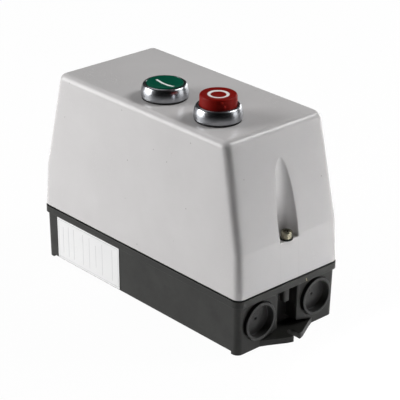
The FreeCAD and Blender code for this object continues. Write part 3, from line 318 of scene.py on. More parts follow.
# Each rule is (place along the plate, half its length), both in mm
ruledForm = {
    "rules": ((-25.5, 9.5), (-20.0, 11.0), (-14.5, 11.0), (-5.0, 11.0), (1.5, 11.0), (8.0, 8.0), (14.5, 11.0),
              (24.5, 11.0)),
    "ruleRange": (0.16 * mm, 0.10 * mm), "ruleFade": 0.2 * mm, "inset": 1.3 * mm, "overlap": 0.1 * mm,
    "borderRange": (0.14 * mm, 0.08 * mm), "strength": 0.6, "color": (0.18, 0.18, 0.19),
}


def ruledMark(tree, color):
    # An empty printed form: a thin frame and rules across the plate
    low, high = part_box("rating_plate")
    centre, inset = middle("rating_plate"), ruledForm["inset"]
    x, _, z = splitPlace(tree, (-centre.x, 0, -centre.z))
    lines = []
    for place, reach in ruledForm["rules"]:
        off = absolute(tree, calc(tree, "SUBTRACT", x, place * mm))
        end = spread(tree, absolute(tree, z), reach * mm, reach * mm - ruledForm["ruleFade"])
        lines.append(product(tree, spread(tree, off, *ruledForm["ruleRange"]), end))
    for here, half, other, otherHalf in ((x, (high.x - low.x) / 2, z, (high.z - low.z) / 2),
                                         (z, (high.z - low.z) / 2, x, (high.x - low.x) / 2)):
        off = absolute(tree, calc(tree, "SUBTRACT", absolute(tree, here), half - inset))
        inside = calc(tree, "LESS_THAN", absolute(tree, other), otherHalf - inset + ruledForm["overlap"])
        lines.append(product(tree, spread(tree, off, *ruledForm["borderRange"]), inside))
    ink = lines[0]
    for line in lines[1:]:
        ink = calc(tree, "MAXIMUM", ink, line)
    return mixColors(tree, product(tree, ink, ruledForm["strength"]), color, ruledForm["color"])


coverForm = {
    "kinkRise": 27.9 * mm, "kinkInset": 1.55 * mm, "topInsetX": 15.7 * mm, "topInsetY": 2.8 * mm,
    "corner": 5.0 * mm, "topEdge": 4.2 * mm, "wall": 2.5 * mm, "kinkSoftness": 0.05 * mm,
    "scoopRadius": 7.7 * mm, "scoopWall": 2.2 * mm, "scoopRim": 0.7 * mm, "floorEdge": 0.4 * mm,
    "holeRadius": 11.15 * mm, "innerEdge": 1.0 * mm, "leastCorner": 0.6 * mm,
    "levelGap": 1.2 * mm, "kinkGap": 0.4 * mm, "tipGap": 1.0 * mm, "tipHalf": 0.5 * mm, "plainRise": 5 * mm,
    "faceColumns": 10, "rimColumns": 5, "scoopColumns": 31, "cornerColumns": 9, "sideColumns": 14,
    "topRings": 6, "middlePoints": 16, "rimShare": 0.3,
    "lowLevels": 7, "kinkLevels": 10, "scoopLevels": 26, "plainLevels": 6, "edgeLevels": 9,
}
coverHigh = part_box("cover")[1]
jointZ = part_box("cover_gasket")[1].z
screwX = middle("cover_screw_lower").x
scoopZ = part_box("screw_washers")[0].z
startPlace, stopPlace = middle("start_bezel"), middle("stop_bezel")
midX = (startPlace.x + stopPlace.x) / 2

looks = {
    "cover_plastic": plastic((0.628, 0.615, 0.614), (0.598, 0.585, 0.584), (0.70, 0.69, 0.69), edge=0,
                             blotchScale=22, speck=0.10, speckScale=160, roughness=(0.22, 0.26),
                             grainScale=1500, bump=0.12, specular=0.27, mark=coverSpecksAndShade),
    "tray_plastic": plastic((0.021, 0.0213, 0.0192), (0.015, 0.0152, 0.0137), (0.06, 0.06, 0.055),
                            edge=0.45 * mm, roughness=(0.36, 0.48), blotchScale=55, wear=0.25,
                            specular=0.28, mark=trayMark),
    "plug_plastic": plastic((0.024, 0.024, 0.0235), (0.018, 0.018, 0.0175), (0.07, 0.07, 0.068),
                            edge=0, roughness=(0.32, 0.42), specular=0.32, mark=plugNeckShade),
    "seal_rubber": plastic((0.008, 0.008, 0.008), (0.012, 0.012, 0.012), (0.02, 0.02, 0.02),
                           roughness=(0.6, 0.75), specular=0.3),
    "label_film": plastic((0.84, 0.84, 0.84), (0.82, 0.82, 0.82), (0.85, 0.85, 0.85), edge=0, speck=0.0,
                          roughness=(0.28, 0.34), bump=0.06, mark=ruledMark),
    "zinc_steel": metal((0.30, 0.285, 0.22), (0.20, 0.185, 0.13), (0.46, 0.45, 0.40), roughness=(0.18, 0.30)),
    "bezel_chrome": metal((0.40, 0.41, 0.43), (0.34, 0.35, 0.37), (0.55, 0.55, 0.56), edge=0,
                          roughness=(0.24, 0.26), bump=0.01, speck=0.0, stretch=(1, 1, 0.1),
                          blotchScale=500, grainScale=1200, glossGrain=0.006),
    "start_green": plastic((0.0006, 0.088, 0.050), (0.0005, 0.076, 0.043), (0.01, 0.12, 0.08), edge=0,
                           roughness=(0.38, 0.46), specular=0.06, mark=barMark),
    "stop_red": plastic((0.25, 0.007, 0.004), (0.21, 0.006, 0.004), (0.42, 0.05, 0.04), edge=0,
                        roughness=(0.38, 0.46), specular=0.07, mark=ringMark),
    "body_plastic": plastic((0.020, 0.020, 0.020), (0.028, 0.028, 0.028), (0.06, 0.06, 0.06)),
    "contactor_plastic": plastic((0.10, 0.105, 0.11), (0.085, 0.09, 0.095), (0.2, 0.2, 0.21)),
    "carrier_plastic": plastic((0.22, 0.20, 0.16), (0.18, 0.165, 0.13), (0.34, 0.31, 0.26)),
    "relay_plastic": plastic((0.075, 0.078, 0.082), (0.06, 0.063, 0.066), (0.16, 0.16, 0.17)),
    "relay_front_plastic": plastic((0.45, 0.46, 0.46), (0.41, 0.42, 0.42), (0.55, 0.56, 0.56)),
    "dial_plastic": plastic((0.72, 0.72, 0.68), (0.66, 0.66, 0.62), (0.8, 0.8, 0.77)),
    "plunger_blue": plastic((0.40, 0.03, 0.02), (0.34, 0.022, 0.016), (0.5, 0.08, 0.06)),
    "core_steel": metal((0.42, 0.41, 0.40), (0.30, 0.29, 0.28), (0.55, 0.54, 0.53), stretch=(1, 9, 1)),
    "contact_brass": metal((0.70, 0.50, 0.22), (0.55, 0.38, 0.16), (0.85, 0.68, 0.36)),
    "coil_tape": plastic((0.52, 0.38, 0.10), (0.42, 0.30, 0.08), (0.6, 0.46, 0.16), stretch=(1, 1, 14)),
    "bobbin_plastic": plastic((0.55, 0.52, 0.45), (0.48, 0.45, 0.39), (0.65, 0.62, 0.55)),
    "spring_steel": metal((0.55, 0.55, 0.56), (0.42, 0.42, 0.43), (0.68, 0.68, 0.69)),
    "rail_steel": metal((0.58, 0.57, 0.52), (0.47, 0.46, 0.40), (0.70, 0.69, 0.65), stretch=(1, 6, 1)),
}
finishes = {slot: surface(slot, look) for slot, look in looks.items()}
print("finishes made:", len(finishes))


def dressNodes():
    # Every carried-over node takes the finish of its slot in the record
    for part in frame["record"]["subparts"]:
        node = frame["nodes"][part["node"]]
        for slot in node.material_slots:
            slot.material = finishes[part["material_slot"]]


dressNodes()


# Mesh helpers: a patch is a grid of points (rows, columns, 3)

meshForm = {"weld": 0.002 * mm, "degenerate": 0.001 * mm, "bandCorner": 7}


def patchFaces(rows, columns, wrap, first):
    # Quads between neighbouring rows; wrap joins the last column to the first
    index = first + np.arange(rows * columns).reshape(rows, columns)
    after = np.roll(index, -1, axis=1)
    last = columns if wrap else columns - 1
    quads = np.stack([index[:-1, :last], after[:-1, :last], after[1:, :last], index[1:, :last]], axis=-1)
    return quads.reshape(-1, 4)


def makePiece(name, patches, slot, body, replaced=(), sharp=32):
    # Joins patches of (points, wrap) into one closed mesh with its normals outwards
    points, faces, first = [], [], 0
    for grid, wrap in patches:
        rows, columns = grid.shape[:2]
        points.append(grid.reshape(-1, 3))
        faces.append(patchFaces(rows, columns, wrap, first))
        first += rows * columns
    mesh = bpy.data.meshes.new(name)
    mesh.from_pydata(np.concatenate(points).tolist(), [], np.concatenate(faces).tolist())
    build = bmesh.new()
    build.from_mesh(mesh)
    bmesh.ops.remove_doubles(build, verts=build.verts, dist=meshForm["weld"])
    bmesh.ops.dissolve_degenerate(build, edges=build.edges, dist=meshForm["degenerate"])
    bmesh.ops.recalc_face_normals(build, faces=build.faces)
    build.to_mesh(mesh)
    build.free()
    mesh.shade_smooth()
    mesh.set_sharp_from_angle(angle=math.radians(sharp))
    mesh.materials.append(finishes[slot])
    piece = bpy.data.objects.new(name, mesh)
    bpy.context.collection.objects.link(piece)
    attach(piece, body)
    if replaced:
        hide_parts(*replaced)
    return piece


def turnedGrid(profile, count, centre, axis="z"):
    # Each profile point (radius, height) carried round the axis by count equal steps
    profile = np.asarray(profile, float)
    angle = np.linspace(0, 2 * math.pi, count, endpoint=False)
    ring = np.stack([np.cos(angle), np.sin(angle)], axis=-1)
    flat = profile[:, None, :1] * ring[None]
    height = np.repeat(profile[:, 1:], count, axis=1)
    grid = np.stack([flat[..., 0], flat[..., 1], height], axis=-1)
    if axis == "x":
        grid = grid[..., [2, 0, 1]]
    return grid + np.array(centre)


def arc(middleR, middleZ, radius, start, end, steps):
    # Points of a circular arc in the (radius, height) plane, angles in degrees
    angle = np.radians(np.linspace(start, end, steps))
    return np.stack([middleR + radius * np.cos(angle), middleZ + radius * np.sin(angle)], axis=-1)


def chain(*parts):
    return np.concatenate([np.atleast_2d(np.asarray(part, float)) for part in parts])


# Cover: outer and inner skin on one grid of levels and columns

def endFace(z):
    # x of the end face: two straight slopes, run into each other by a soft minimum
    form = coverForm
    kink = jointZ + form["kinkRise"]
    lower = coverHigh.x - form["kinkInset"] * (z - jointZ) / form["kinkRise"]
    slope = (form["topInsetX"] - form["kinkInset"]) / (coverHigh.z - kink)
    upper = coverHigh.x - form["kinkInset"] - slope * (z - kink)
    gap = lower - upper
    return (lower + upper - np.sqrt(gap * gap + form["kinkSoftness"] ** 2)) / 2


def sideFace(z):
    return coverHigh.y - coverForm["topInsetY"] * (z - jointZ) / (coverHigh.z - jointZ)


def coverLevels(inset):
    # Heights with their half length, half width, corner radius, and whether the scoop is cut there
    form = coverForm
    radius = form["scoopRadius"] + (form["scoopWall"] if inset else 0)
    floor = scoopZ - (form["scoopWall"] if inset else 0)
    edge = form["floorEdge"]
    slope = (form["topInsetX"] - form["kinkInset"]) / (coverHigh.z - jointZ - form["kinkRise"])
    turn = np.radians(np.linspace(88, 1, form["scoopLevels"]))
    base = coverHigh.x - form["kinkInset"] - inset
    kink = jointZ + form["kinkRise"]
    scoopHeights = kink + (base - screwX + radius * np.cos(turn)) / slope
    below = np.linspace(jointZ, floor - form["levelGap"], form["lowLevels"])
    quarter = np.radians([0, 30, 60, 90])
    low = np.concatenate([below, floor - edge * (1 - np.sin(quarter))])
    above = np.linspace(kink + form["levelGap"], scoopHeights[0], form["kinkLevels"])[:-1]
    lowScoop = np.concatenate([[floor, kink - form["kinkGap"], kink, kink + form["kinkGap"]], above])
    top = coverHigh.z - inset
    topRound = form["innerEdge"] if inset else form["topEdge"]
    plain = np.linspace(scoopHeights[-1] + form["tipGap"], top - topRound, form["plainLevels"])
    turned = np.radians(np.linspace(0, 90, form["edgeLevels"]))[1:]
    upright = np.concatenate([low, lowScoop, scoopHeights, plain])
    z = np.concatenate([upright, top - topRound + topRound * np.sin(turned)])
    shrink = np.concatenate([np.zeros(len(upright)), topRound * (1 - np.cos(turned))])
    cut = np.zeros(len(z))
    cut[len(low):len(low) + len(lowScoop) + len(scoopHeights)] = 1
    pull = np.zeros(len(z))
    pull[len(below):len(low)] = edge * (1 - np.cos(quarter))
    return z, endFace(z) - inset - shrink, sideFace(z) - inset - shrink, cut, pull, shrink, radius


def endColumns(z, x, cut, pull, radius):
    # One end face from -y to +y. The scoop is a U in plan, and narrows where the face leans back past it.
    # Its rim is a quadratic curve from face to wall, with the sharp corner as its control point.
    form = coverForm
    straight = np.where(cut > 0, np.clip(x - screwX, 0, None), 0.0)
    lean = np.clip((screwX - x) / radius, -1, 1)
    reach = np.where(x >= screwX, math.pi / 2, np.arccos(np.clip(lean, 0, 1)))
    half = np.where(cut > 0, radius * np.sin(reach), radius)
    above = (cut == 0) & (z > scoopZ + form["plainRise"])
    half = np.where(above, form["tipHalf"], half)
    length = np.where(cut > 0, radius * reach + straight, half)
    rim = np.minimum(form["scoopRim"], form["rimShare"] * length)
    t = np.linspace(-1, 1, form["scoopColumns"])
    along = t[None] * (length - rim)[:, None]
    onArc = np.abs(along) <= (radius * reach)[:, None]
    turn = along / radius
    scoopX = np.where(onArc, screwX - radius * np.cos(turn),
                      screwX + np.abs(along) - radius * math.pi / 2)
    scoopY = np.where(onArc, radius * np.sin(turn), np.sign(along) * radius)
    plainX = np.repeat((x - pull)[:, None], len(t), axis=1)
    inside = (cut > 0)[:, None]
    bottomX = np.where(inside, scoopX, plainX)
    bottomY = np.where(inside, scoopY, along)
    s = np.linspace(0, 1, form["rimColumns"] + 2)[None, :-1]
    startX, startY = x[:, None], -(half + rim)[:, None]
    pinX, pinY = x[:, None], -half[:, None]
    endX, endY = bottomX[:, :1], bottomY[:, :1]
    rimX = (1 - s) ** 2 * startX + 2 * s * (1 - s) * pinX + s ** 2 * endX
    rimY = (1 - s) ** 2 * startY + 2 * s * (1 - s) * pinY + s ** 2 * endY
    return bottomX, bottomY, rimX, rimY, half + rim


def coverOutlines(inset):
    # Half of the outline of every level; the other half is its half turn
    form = coverForm
    z, halfX, halfY, cut, pull, shrink, radius = coverLevels(inset)
    corner = np.maximum(form["corner"] - inset / 2 - shrink, form["leastCorner"])
    flatX, flatY = halfX - corner, halfY - corner
    bottomX, bottomY, rimX, rimY, edge = endColumns(z, halfX, cut, pull, radius)
    k = np.linspace(0, 1, form["faceColumns"])[None, :-1]
    faceY = -flatY[:, None] + k * (flatY - edge)[:, None]
    faceX = np.repeat(halfX[:, None], faceY.shape[1], axis=1)
    endX = np.concatenate([faceX, rimX, bottomX, rimX[:, ::-1], faceX[:, ::-1]], axis=1)
    endY = np.concatenate([faceY, rimY, bottomY, -rimY[:, ::-1], -faceY[:, ::-1]], axis=1)
    turn = np.radians(np.linspace(0, 90, form["cornerColumns"]))[None, 1:]
    cornerX = flatX[:, None] + corner[:, None] * np.cos(turn)
    cornerY = flatY[:, None] + corner[:, None] * np.sin(turn)
    share = np.linspace(0, 1, form["sideColumns"])
    ones = np.ones_like(flatX)[:, None]
    sideX = np.concatenate([flatX[:, None] + (midX - flatX[:, None]) * share[None, 1:],
                            ones * np.linspace(midX, -midX, form["sideColumns"])[None, 1:],
                            -midX + (midX - flatX[:, None]) * share[None, 1:-1]], axis=1)
    sideY = np.repeat(halfY[:, None], sideX.shape[1], axis=1)
    halfRingX = np.concatenate([endX, cornerX, sideX], axis=1)
    halfRingY = np.concatenate([endY, cornerY, sideY], axis=1)
    # The corner of the second half starts where the side ends
    back = np.radians(np.linspace(90, 0, form["cornerColumns"]))[None, :-1]
    backX = -(flatX[:, None] + corner[:, None] * np.cos(back))
    backY = flatY[:, None] + corner[:, None] * np.sin(back)
    ringX = np.concatenate([halfRingX, backX], axis=1)
    ringY = np.concatenate([halfRingY, backY], axis=1)
    ringX = np.concatenate([ringX, -ringX], axis=1)
    ringY = np.concatenate([ringY, -ringY], axis=1)
    height = np.repeat(z[:, None], ringX.shape[1], axis=1)
    return np.stack([ringX, ringY, height], axis=-1)


def topPatch(ring, place, right):
    # Straight lines from the hole's edge to the outline and the middle line, through each outline point
    nearly = 0.001 * mm
    kept = ring[ring[:, 0] >= midX - nearly if right else ring[:, 0] <= midX + nearly]
    reach = kept[:, 1].max()
    inner = np.linspace(-reach, reach, coverForm["middlePoints"])[1:-1]
    line = np.stack([np.full_like(inner, midX), inner, np.full_like(inner, ring[0, 2])], axis=-1)
    both = np.concatenate([kept, line])
    angle = np.arctan2(both[:, 1] - place.y, both[:, 0] - place.x)
    both = both[np.argsort(angle)]
    angle = np.sort(angle)
    hole = np.stack([place.x + coverForm["holeRadius"] * np.cos(angle),
                     place.y + coverForm["holeRadius"] * np.sin(angle), both[:, 2]], axis=-1)
    t = np.linspace(0, 1, coverForm["topRings"])[:, None, None]
    return (1 - t) * both[None] + t * hole[None]


def bandAround(outline):
    # A closed band of rectangles with round corners, each (half length, half width, corner, height)
    rings = []
    for halfX, halfY, corner, z in outline:
        turn = np.radians(np.linspace(0, 90, meshForm["bandCorner"]))
        parts = []
        for quarter in range(4):
            a = turn + quarter * math.pi / 2
            cx = (halfX - corner) * (1 if quarter in (0, 3) else -1)
            cy = (halfY - corner) * (1 if quarter in (0, 1) else -1)
            parts.append(np.stack([cx + corner * np.cos(a), cy + corner * np.sin(a)], axis=-1))
        flat = np.concatenate(parts)
        rings.append(np.concatenate([flat, np.full((len(flat), 1), z)], axis=1))
    return np.stack(rings + rings[:1])


tubeForm = {"radius": 4.2 * mm, "bore": 1.9 * mm, "sunk": 1.0 * mm, "endWall": 1.0 * mm, "steps": 40}


def screwTube(side):
    # Tube down to the rim for a cover screw, kept inside the end wall
    outer, bore, top = tubeForm["radius"], tubeForm["bore"], scoopZ - tubeForm["sunk"]
    profile = [(bore, jointZ), (outer, jointZ), (outer, (jointZ + top) / 2), (outer, top), (bore, top),
               (bore, jointZ)]
    grid = turnedGrid(profile, tubeForm["steps"], (side * screwX, 0, 0))
    limit = endFace(grid[..., 2]) - tubeForm["endWall"]
    grid[..., 0] = side * np.minimum(side * grid[..., 0], limit)
    return grid


ledgeForm = {"inset": 3.95 * mm, "corner": 2.8 * mm, "thick": 1.2 * mm, "innerCorner": 2.0 * mm,
             "drop": 3.0 * mm, "rise": 1.5 * mm, "rootInset": 1.3 * mm, "rootCorner": 3.8 * mm,
             "rootRise": 0.2 * mm}


def ledgeBand():
    # Lip that hangs inside the tray's rim, with its root in the cover's wall
    form = ledgeForm
    bottom, top, root = jointZ - form["drop"], jointZ + form["rise"], jointZ + form["rootRise"]
    outer = (form["inset"], form["corner"])
    inner = (form["inset"] + form["thick"], form["innerCorner"])
    wall = (form["rootInset"], form["rootCorner"])
    places = [(*outer, jointZ), (*outer, bottom), (*inner, bottom), (*inner, top), (*wall, top),
              (*wall, root)]
    return bandAround([(coverHigh.x - inset, coverHigh.y - inset, corner, z) for inset, corner, z in places])


def makeCover():
    outer, inner = coverOutlines(0.0), coverOutlines(coverForm["wall"])
    patches = [(outer, True), (inner, True), (np.stack([inner[0], outer[0]]), True)]
    tops = {}
    for name, skin in (("outer", outer), ("inner", inner)):
        tops[name] = [topPatch(skin[-1], startPlace, False), topPatch(skin[-1], stopPlace, True)]
        patches += [(patch, True) for patch in tops[name]]
    for high, low in zip(tops["outer"], tops["inner"]):
        wall = np.stack([high[-1], high[-1]])
        wall[1, :, 2] = low[-1, 0, 2]
        patches.append((wall, True))
    patches.append((ledgeBand(), True))
    patches += [(screwTube(side), True) for side in (1, -1)]
    return makePiece("coverShell", patches, "cover_plastic", "cover", ["cover"], sharp=40)


makeCover()
print("cover made")


# Push buttons

bezelForm = {"barrel": 14.0 * mm, "barrelTurn": 22, "shoulder": 1.9 * mm, "lip": 0.4 * mm, "steps": 160,
             "rim": 3.2 * mm, "wall": 1.2 * mm, "footInset": 0.9 * mm, "footGap": 0.45 * mm,
             "chamfer": 0.25 * mm, "chamferLean": 0.05 * mm, "crown": 0.1 * mm, "lipDrop": 0.15 * mm,
             "grooveEdge": (0.72 * mm, 0.12 * mm), "grooveOuter": 0.66 * mm, "grooveInner": 0.5 * mm,
             "grooveDepth": 0.5 * mm, "mouthDepth": 2.6 * mm}


def makeBezel(node):
    # Profile from the foot up the barrel wall, over the shoulder, through a groove and over the inner lip
    form = bezelForm
    low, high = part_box(node)
    centre = ((low.x + high.x) / 2, (low.y + high.y) / 2, 0)
    outer = (high.x - low.x) / 2
    foot, top, mouth = low.z, high.z, outer - form["rim"]
    barrel, shoulder, turn = form["barrel"], form["shoulder"], form["barrelTurn"]
    crown = top - form["crown"] - shoulder
    pull = (barrel - shoulder) * (1 - math.cos(math.radians(turn)))
    bend = crown - (barrel - shoulder) * math.sin(math.radians(turn))
    wall = arc(outer - barrel, bend, barrel, 0, turn, 12)
    edge = arc(outer - pull - shoulder, crown, shoulder, turn, 80, 9)[1:]
    within, footOuter = outer - form["wall"], outer - form["footInset"]
    gap, chamfer, lean = foot + form["footGap"], form["chamfer"], form["chamferLean"]
    edgeIn, edgeDown = form["grooveEdge"]
    groove, lip, floor = top - form["grooveDepth"], form["lip"], top - form["mouthDepth"]
    profile = chain(
        [(within, foot), (footOuter, foot), (footOuter, gap), (outer - chamfer, gap + lean),
         (outer, gap + lean + chamfer)], wall, edge,
        [(mouth + edgeIn, top - edgeDown), (mouth + form["grooveOuter"], groove),
         (mouth + form["grooveInner"], groove)],
        arc(mouth + lip, top - form["lipDrop"] - lip, lip, 70, 180, 7),
        [(mouth, floor), (within, floor), (within, foot)])
    makePiece(node + "Ring", [(turnedGrid(profile, form["steps"], centre), True)], "bezel_chrome", "cover",
              [node], sharp=28)


capForm = {"startEdge": 0.35 * mm, "stopEdge": 1.25 * mm, "startDish": 1.5 * mm, "stopDish": 0.8 * mm,
           "skirt": 8.8 * mm, "skirtWall": 1.5 * mm, "skirtLength": 16.0 * mm, "roof": 1.2 * mm,
           "chamfer": 0.2 * mm, "rings": 14, "steps": 128}


def makeCap(node, body, slot, edge, dish):
    # Dished top with a rounded rim, straight side, hollow skirt below
    low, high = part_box(node)
    centre = ((low.x + high.x) / 2, (low.y + high.y) / 2, 0)
    radius, top = (high.x - low.x) / 2, high.z
    bottom = low.z + capForm["skirtLength"]
    r = np.linspace(0, 1, capForm["rings"])
    dished = np.stack([r * (radius - edge), top - dish * (1 - r ** 2)], axis=-1)
    skirt, inner, chamfer = capForm["skirt"], capForm["skirt"] - capForm["skirtWall"], capForm["chamfer"]
    ceiling = bottom - capForm["roof"]
    profile = chain(dished, arc(radius - edge, top - edge, edge, 90, 0, 8)[1:],
                    [(radius, bottom + chamfer), (radius - chamfer, bottom), (skirt, bottom),
                     (skirt, low.z), (inner, low.z), (inner, ceiling), (0, ceiling)])
    grid = turnedGrid(profile, capForm["steps"], centre)
    makePiece(node + "Top", [(grid, True)], slot, body, [node], sharp=35)


for node in ("start_bezel", "stop_bezel"):
    makeBezel(node)
makeCap("start_cap", "start_button", "start_green", capForm["startEdge"], capForm["startDish"])
makeCap("stop_cap", "stop_button", "stop_red", capForm["stopEdge"], capForm["stopDish"])
print("buttons made")


nutForm = {"lobes": 12, "lobeDepth": 0.5 * mm, "steps": 144, "bore": 10.98 * mm, "bevel": 0.5 * mm,
           "boreBevel": 0.3 * mm, "rootStart": 1.5 * mm, "rootRun": 1.0 * mm, "sharpness": 3}


def makeLockNut(node):
    # Round nut whose outer radius swells and sinks evenly for a grip
    low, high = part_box(node)
    centre = ((low.x + high.x) / 2, (low.y + high.y) / 2)
    outer, bore = (high.y - low.y) / 2, nutForm["bore"]
    bevel, boreBevel = nutForm["bevel"], nutForm["boreBevel"]
    profile = [(bore, low.z + boreBevel), (bore + boreBevel, low.z), (outer - bevel, low.z),
               (outer, low.z + bevel), (outer, high.z - bevel), (outer - bevel, high.z),
               (bore + boreBevel, high.z), (bore, high.z - boreBevel), (bore, low.z + boreBevel)]
    grid = turnedGrid(profile, nutForm["steps"], (0, 0, 0))
    angle = np.arctan2(grid[..., 1], grid[..., 0])
    radius = np.hypot(grid[..., 0], grid[..., 1])
    swell = np.tanh(nutForm["sharpness"] * np.cos(nutForm["lobes"] * angle)) * 0.5 - 0.5
    share = np.clip((radius - bore - nutForm["rootStart"]) / nutForm["rootRun"], 0, 1)
    scale = 1 + share * swell * nutForm["lobeDepth"] / outer
    grid[..., 0] = grid[..., 0] * scale + centre[0]
    grid[..., 1] = grid[..., 1] * scale + centre[1]
    makePiece(node + "Grip", [(grid, True)], "body_plastic", "cover", [node], sharp=35)


for node in ("start_lock_nut", "stop_lock_nut"):
    makeLockNut(node)


# Cable plugs, turned about X

plugForm = {"flange": 0.55 * mm, "neck": 0.5 * mm, "ring": 1.8 * mm, "recess": 5.0 * mm, "edge": 0.35 * mm,
            "lip": 1.35 * mm, "lipThick": 1.6 * mm, "lipChamfer": 0.5 * mm, "fillet": 0.4 * mm,
            "dot": 0.75 * mm, "dotDepth": 0.9 * mm, "gateRadius": 2.1 * mm, "gateHeight": 0.14 * mm,
            "gateWidth": 0.3 * mm, "gatePlace": 4.6 * mm, "flangeBevel": 0.1 * mm, "steps": 120,
            "dotRings": (0, 0.02, 0.035, 0.05, 0.07), "discRings": 30}


def makePlug(node, side, gateAngle):
    # Flange, rounded ring, recessed disc with a centre dot and the faint circle left by the mould's gate
    low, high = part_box(node)
    centre = np.array([0, (low.y + high.y) / 2, (low.z + high.z) / 2])
    lip = (high.y - low.y) / 2
    front, back = (high.x, low.x) if side > 0 else (-low.x, -high.x)
    radius = lip - plugForm["lip"]
    edge, fillet, chamfer = plugForm["edge"], plugForm["fillet"], plugForm["lipChamfer"]
    floor, flange = front - plugForm["recess"], front - plugForm["flange"]
    neck, inner = radius - plugForm["neck"], radius - plugForm["ring"]
    lipFront = back + plugForm["lipThick"]
    outerWall = chain([(0, back), (lip - chamfer, back), (lip, back + chamfer), (lip, lipFront),
                       (neck, lipFront), (neck, flange), (radius - plugForm["flangeBevel"], flange)],
                      arc(radius - edge, front - edge, edge, 0, 90, 6),
                      arc(inner + edge, front - edge, edge, 90, 180, 6))
    innerWall = chain([(inner, front - edge)], arc(inner - fillet, floor + fillet, fillet, 0, -90, 5))
    outerGrid = turnedGrid(outerWall, plugForm["steps"], centre, "x")
    innerGrid = turnedGrid(innerWall, plugForm["steps"], centre, "x")
    # The disc's rings lie close together round the dot. The dot is a steep bell, the gate a raised circle.
    turn = np.linspace(0, 2 * math.pi, plugForm["steps"], endpoint=False)[None]
    share = np.concatenate([plugForm["dotRings"], np.linspace(0.1, 1, plugForm["discRings"])])
    r = share[::-1, None] * (inner - fillet)
    y, z = r * np.cos(turn), r * np.sin(turn)
    dot = -plugForm["dotDepth"] * np.exp(-(r / plugForm["dot"]) ** 4)
    gateY, gateZ = plugForm["gatePlace"] * math.cos(gateAngle), plugForm["gatePlace"] * math.sin(gateAngle)
    away = np.hypot(y - gateY, z - gateZ)
    gate = plugForm["gateHeight"] * np.exp(-((away - plugForm["gateRadius"]) / plugForm["gateWidth"]) ** 2)
    disc = np.stack([floor + dot + gate, y + centre[1], z + centre[2]], axis=-1)
    whole = np.concatenate([outerGrid[:-1], innerGrid, disc[1:]])
    whole[..., 0] *= side
    makePiece(node + "Cap", [(whole, True)], "plug_plastic", "tray", [node], sharp=38)


for node, side, gateAngle in (("plug_lower_left", 1, 1.2), ("plug_lower_right", 1, 2.4),
                              ("plug_upper_left", -1, 0.4), ("plug_upper_right", -1, 4.0)):
    makePlug(node, side, gateAngle)
print("plugs made")


# Cover screws with a cross recess and a cut thread

screwForm = {"head": 3.4 * mm, "round": 0.42 * mm, "roundDrop": 0.385 * mm, "crown": 0.35 * mm,
             "headHeight": 4.8 * mm, "chamfer": 0.3 * mm, "shank": 1.5 * mm, "neck": 0.5 * mm,
             "plain": 9 * mm, "threadRun": 1.5 * mm, "pitch": 0.8 * mm, "thread": 0.18 * mm,
             "slotHalf": 0.5 * mm, "slotFade": 0.12 * mm, "slotReach": 2.4 * mm, "slotEnd": 0.5 * mm,
             "slotDepth": 1.6 * mm, "tip": 1.5 * mm, "tipShare": 0.55, "steps": 96, "headRings": 40,
             "shankRings": 150}


def slotMask(across, along):
    # 1 inside a slot of the head's cross, falling to 0 over its edges
    narrow = np.clip((screwForm["slotHalf"] - np.abs(across)) / screwForm["slotFade"] + 0.5, 0, 1)
    short = np.clip((screwForm["slotReach"] - np.abs(along)) / screwForm["slotEnd"] + 0.5, 0, 1)
    return narrow * short


def makeCoverScrew(node, body, twist):
    # Domed head with a cross recess, plain neck, then a thread: a ridge that climbs one pitch to a turn
    form, steps = screwForm, screwForm["steps"]
    low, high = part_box(node)
    centre = np.array([(low.x + high.x) / 2, (low.y + high.y) / 2, 0])
    top, seat, tip = high.z, high.z - form["headHeight"], low.z
    head, edge = form["head"], form["round"]
    turn = np.linspace(0, 2 * math.pi, steps, endpoint=False)[None]
    r = np.linspace(0, 1, form["headRings"])[:, None] * (head - edge)
    x, y = r * np.cos(turn + twist), r * np.sin(turn + twist)
    crown = top - form["crown"] * (r / head) ** 2
    recess = form["slotDepth"] * np.maximum(slotMask(x, y), slotMask(y, x))
    flat = np.stack([r * np.cos(turn), r * np.sin(turn), crown - recess], axis=-1)
    side = turnedGrid(chain(arc(head - edge, top - form["crown"] - form["roundDrop"], edge, 70, 0, 5),
                            [(head, seat + form["chamfer"]), (head - form["chamfer"], seat),
                             (form["shank"], seat)]), steps, (0, 0, 0))
    down = np.linspace(seat - form["neck"], tip + form["tip"], form["shankRings"])[:, None]
    phase = (down / form["pitch"] - turn / (2 * math.pi)) % 1.0
    ridge = 1 - np.abs(2 * phase - 1)
    threaded = np.clip((seat - form["plain"] - down) / form["threadRun"], 0, 1)
    radius = form["shank"] - form["thread"] * (1 - ridge) * threaded
    height = np.repeat(down, steps, axis=1)
    shank = np.stack([radius * np.cos(turn), radius * np.sin(turn), height], axis=-1)
    point = turnedGrid([(form["tipShare"] * form["shank"], tip), (0, tip)], steps, (0, 0, 0))
    grid = np.concatenate([flat, side, shank, point]) + centre
    makePiece(node + "Threaded", [(grid, True)], "zinc_steel", body, [node], sharp=35)


makeCoverScrew("cover_screw_lower", "lower_screw", 0.5)
makeCoverScrew("cover_screw_upper", "upper_screw", 1.1)
print("cover screws made")


# Coil springs

springForm = {"wireSteps": 10, "stepsPerTurn": 36, "endRise": 1.2, "buttonWire": 0.8 * mm, "buttonTurns": 7,
              "returnWire": 0.7 * mm, "returnTurns": 11}


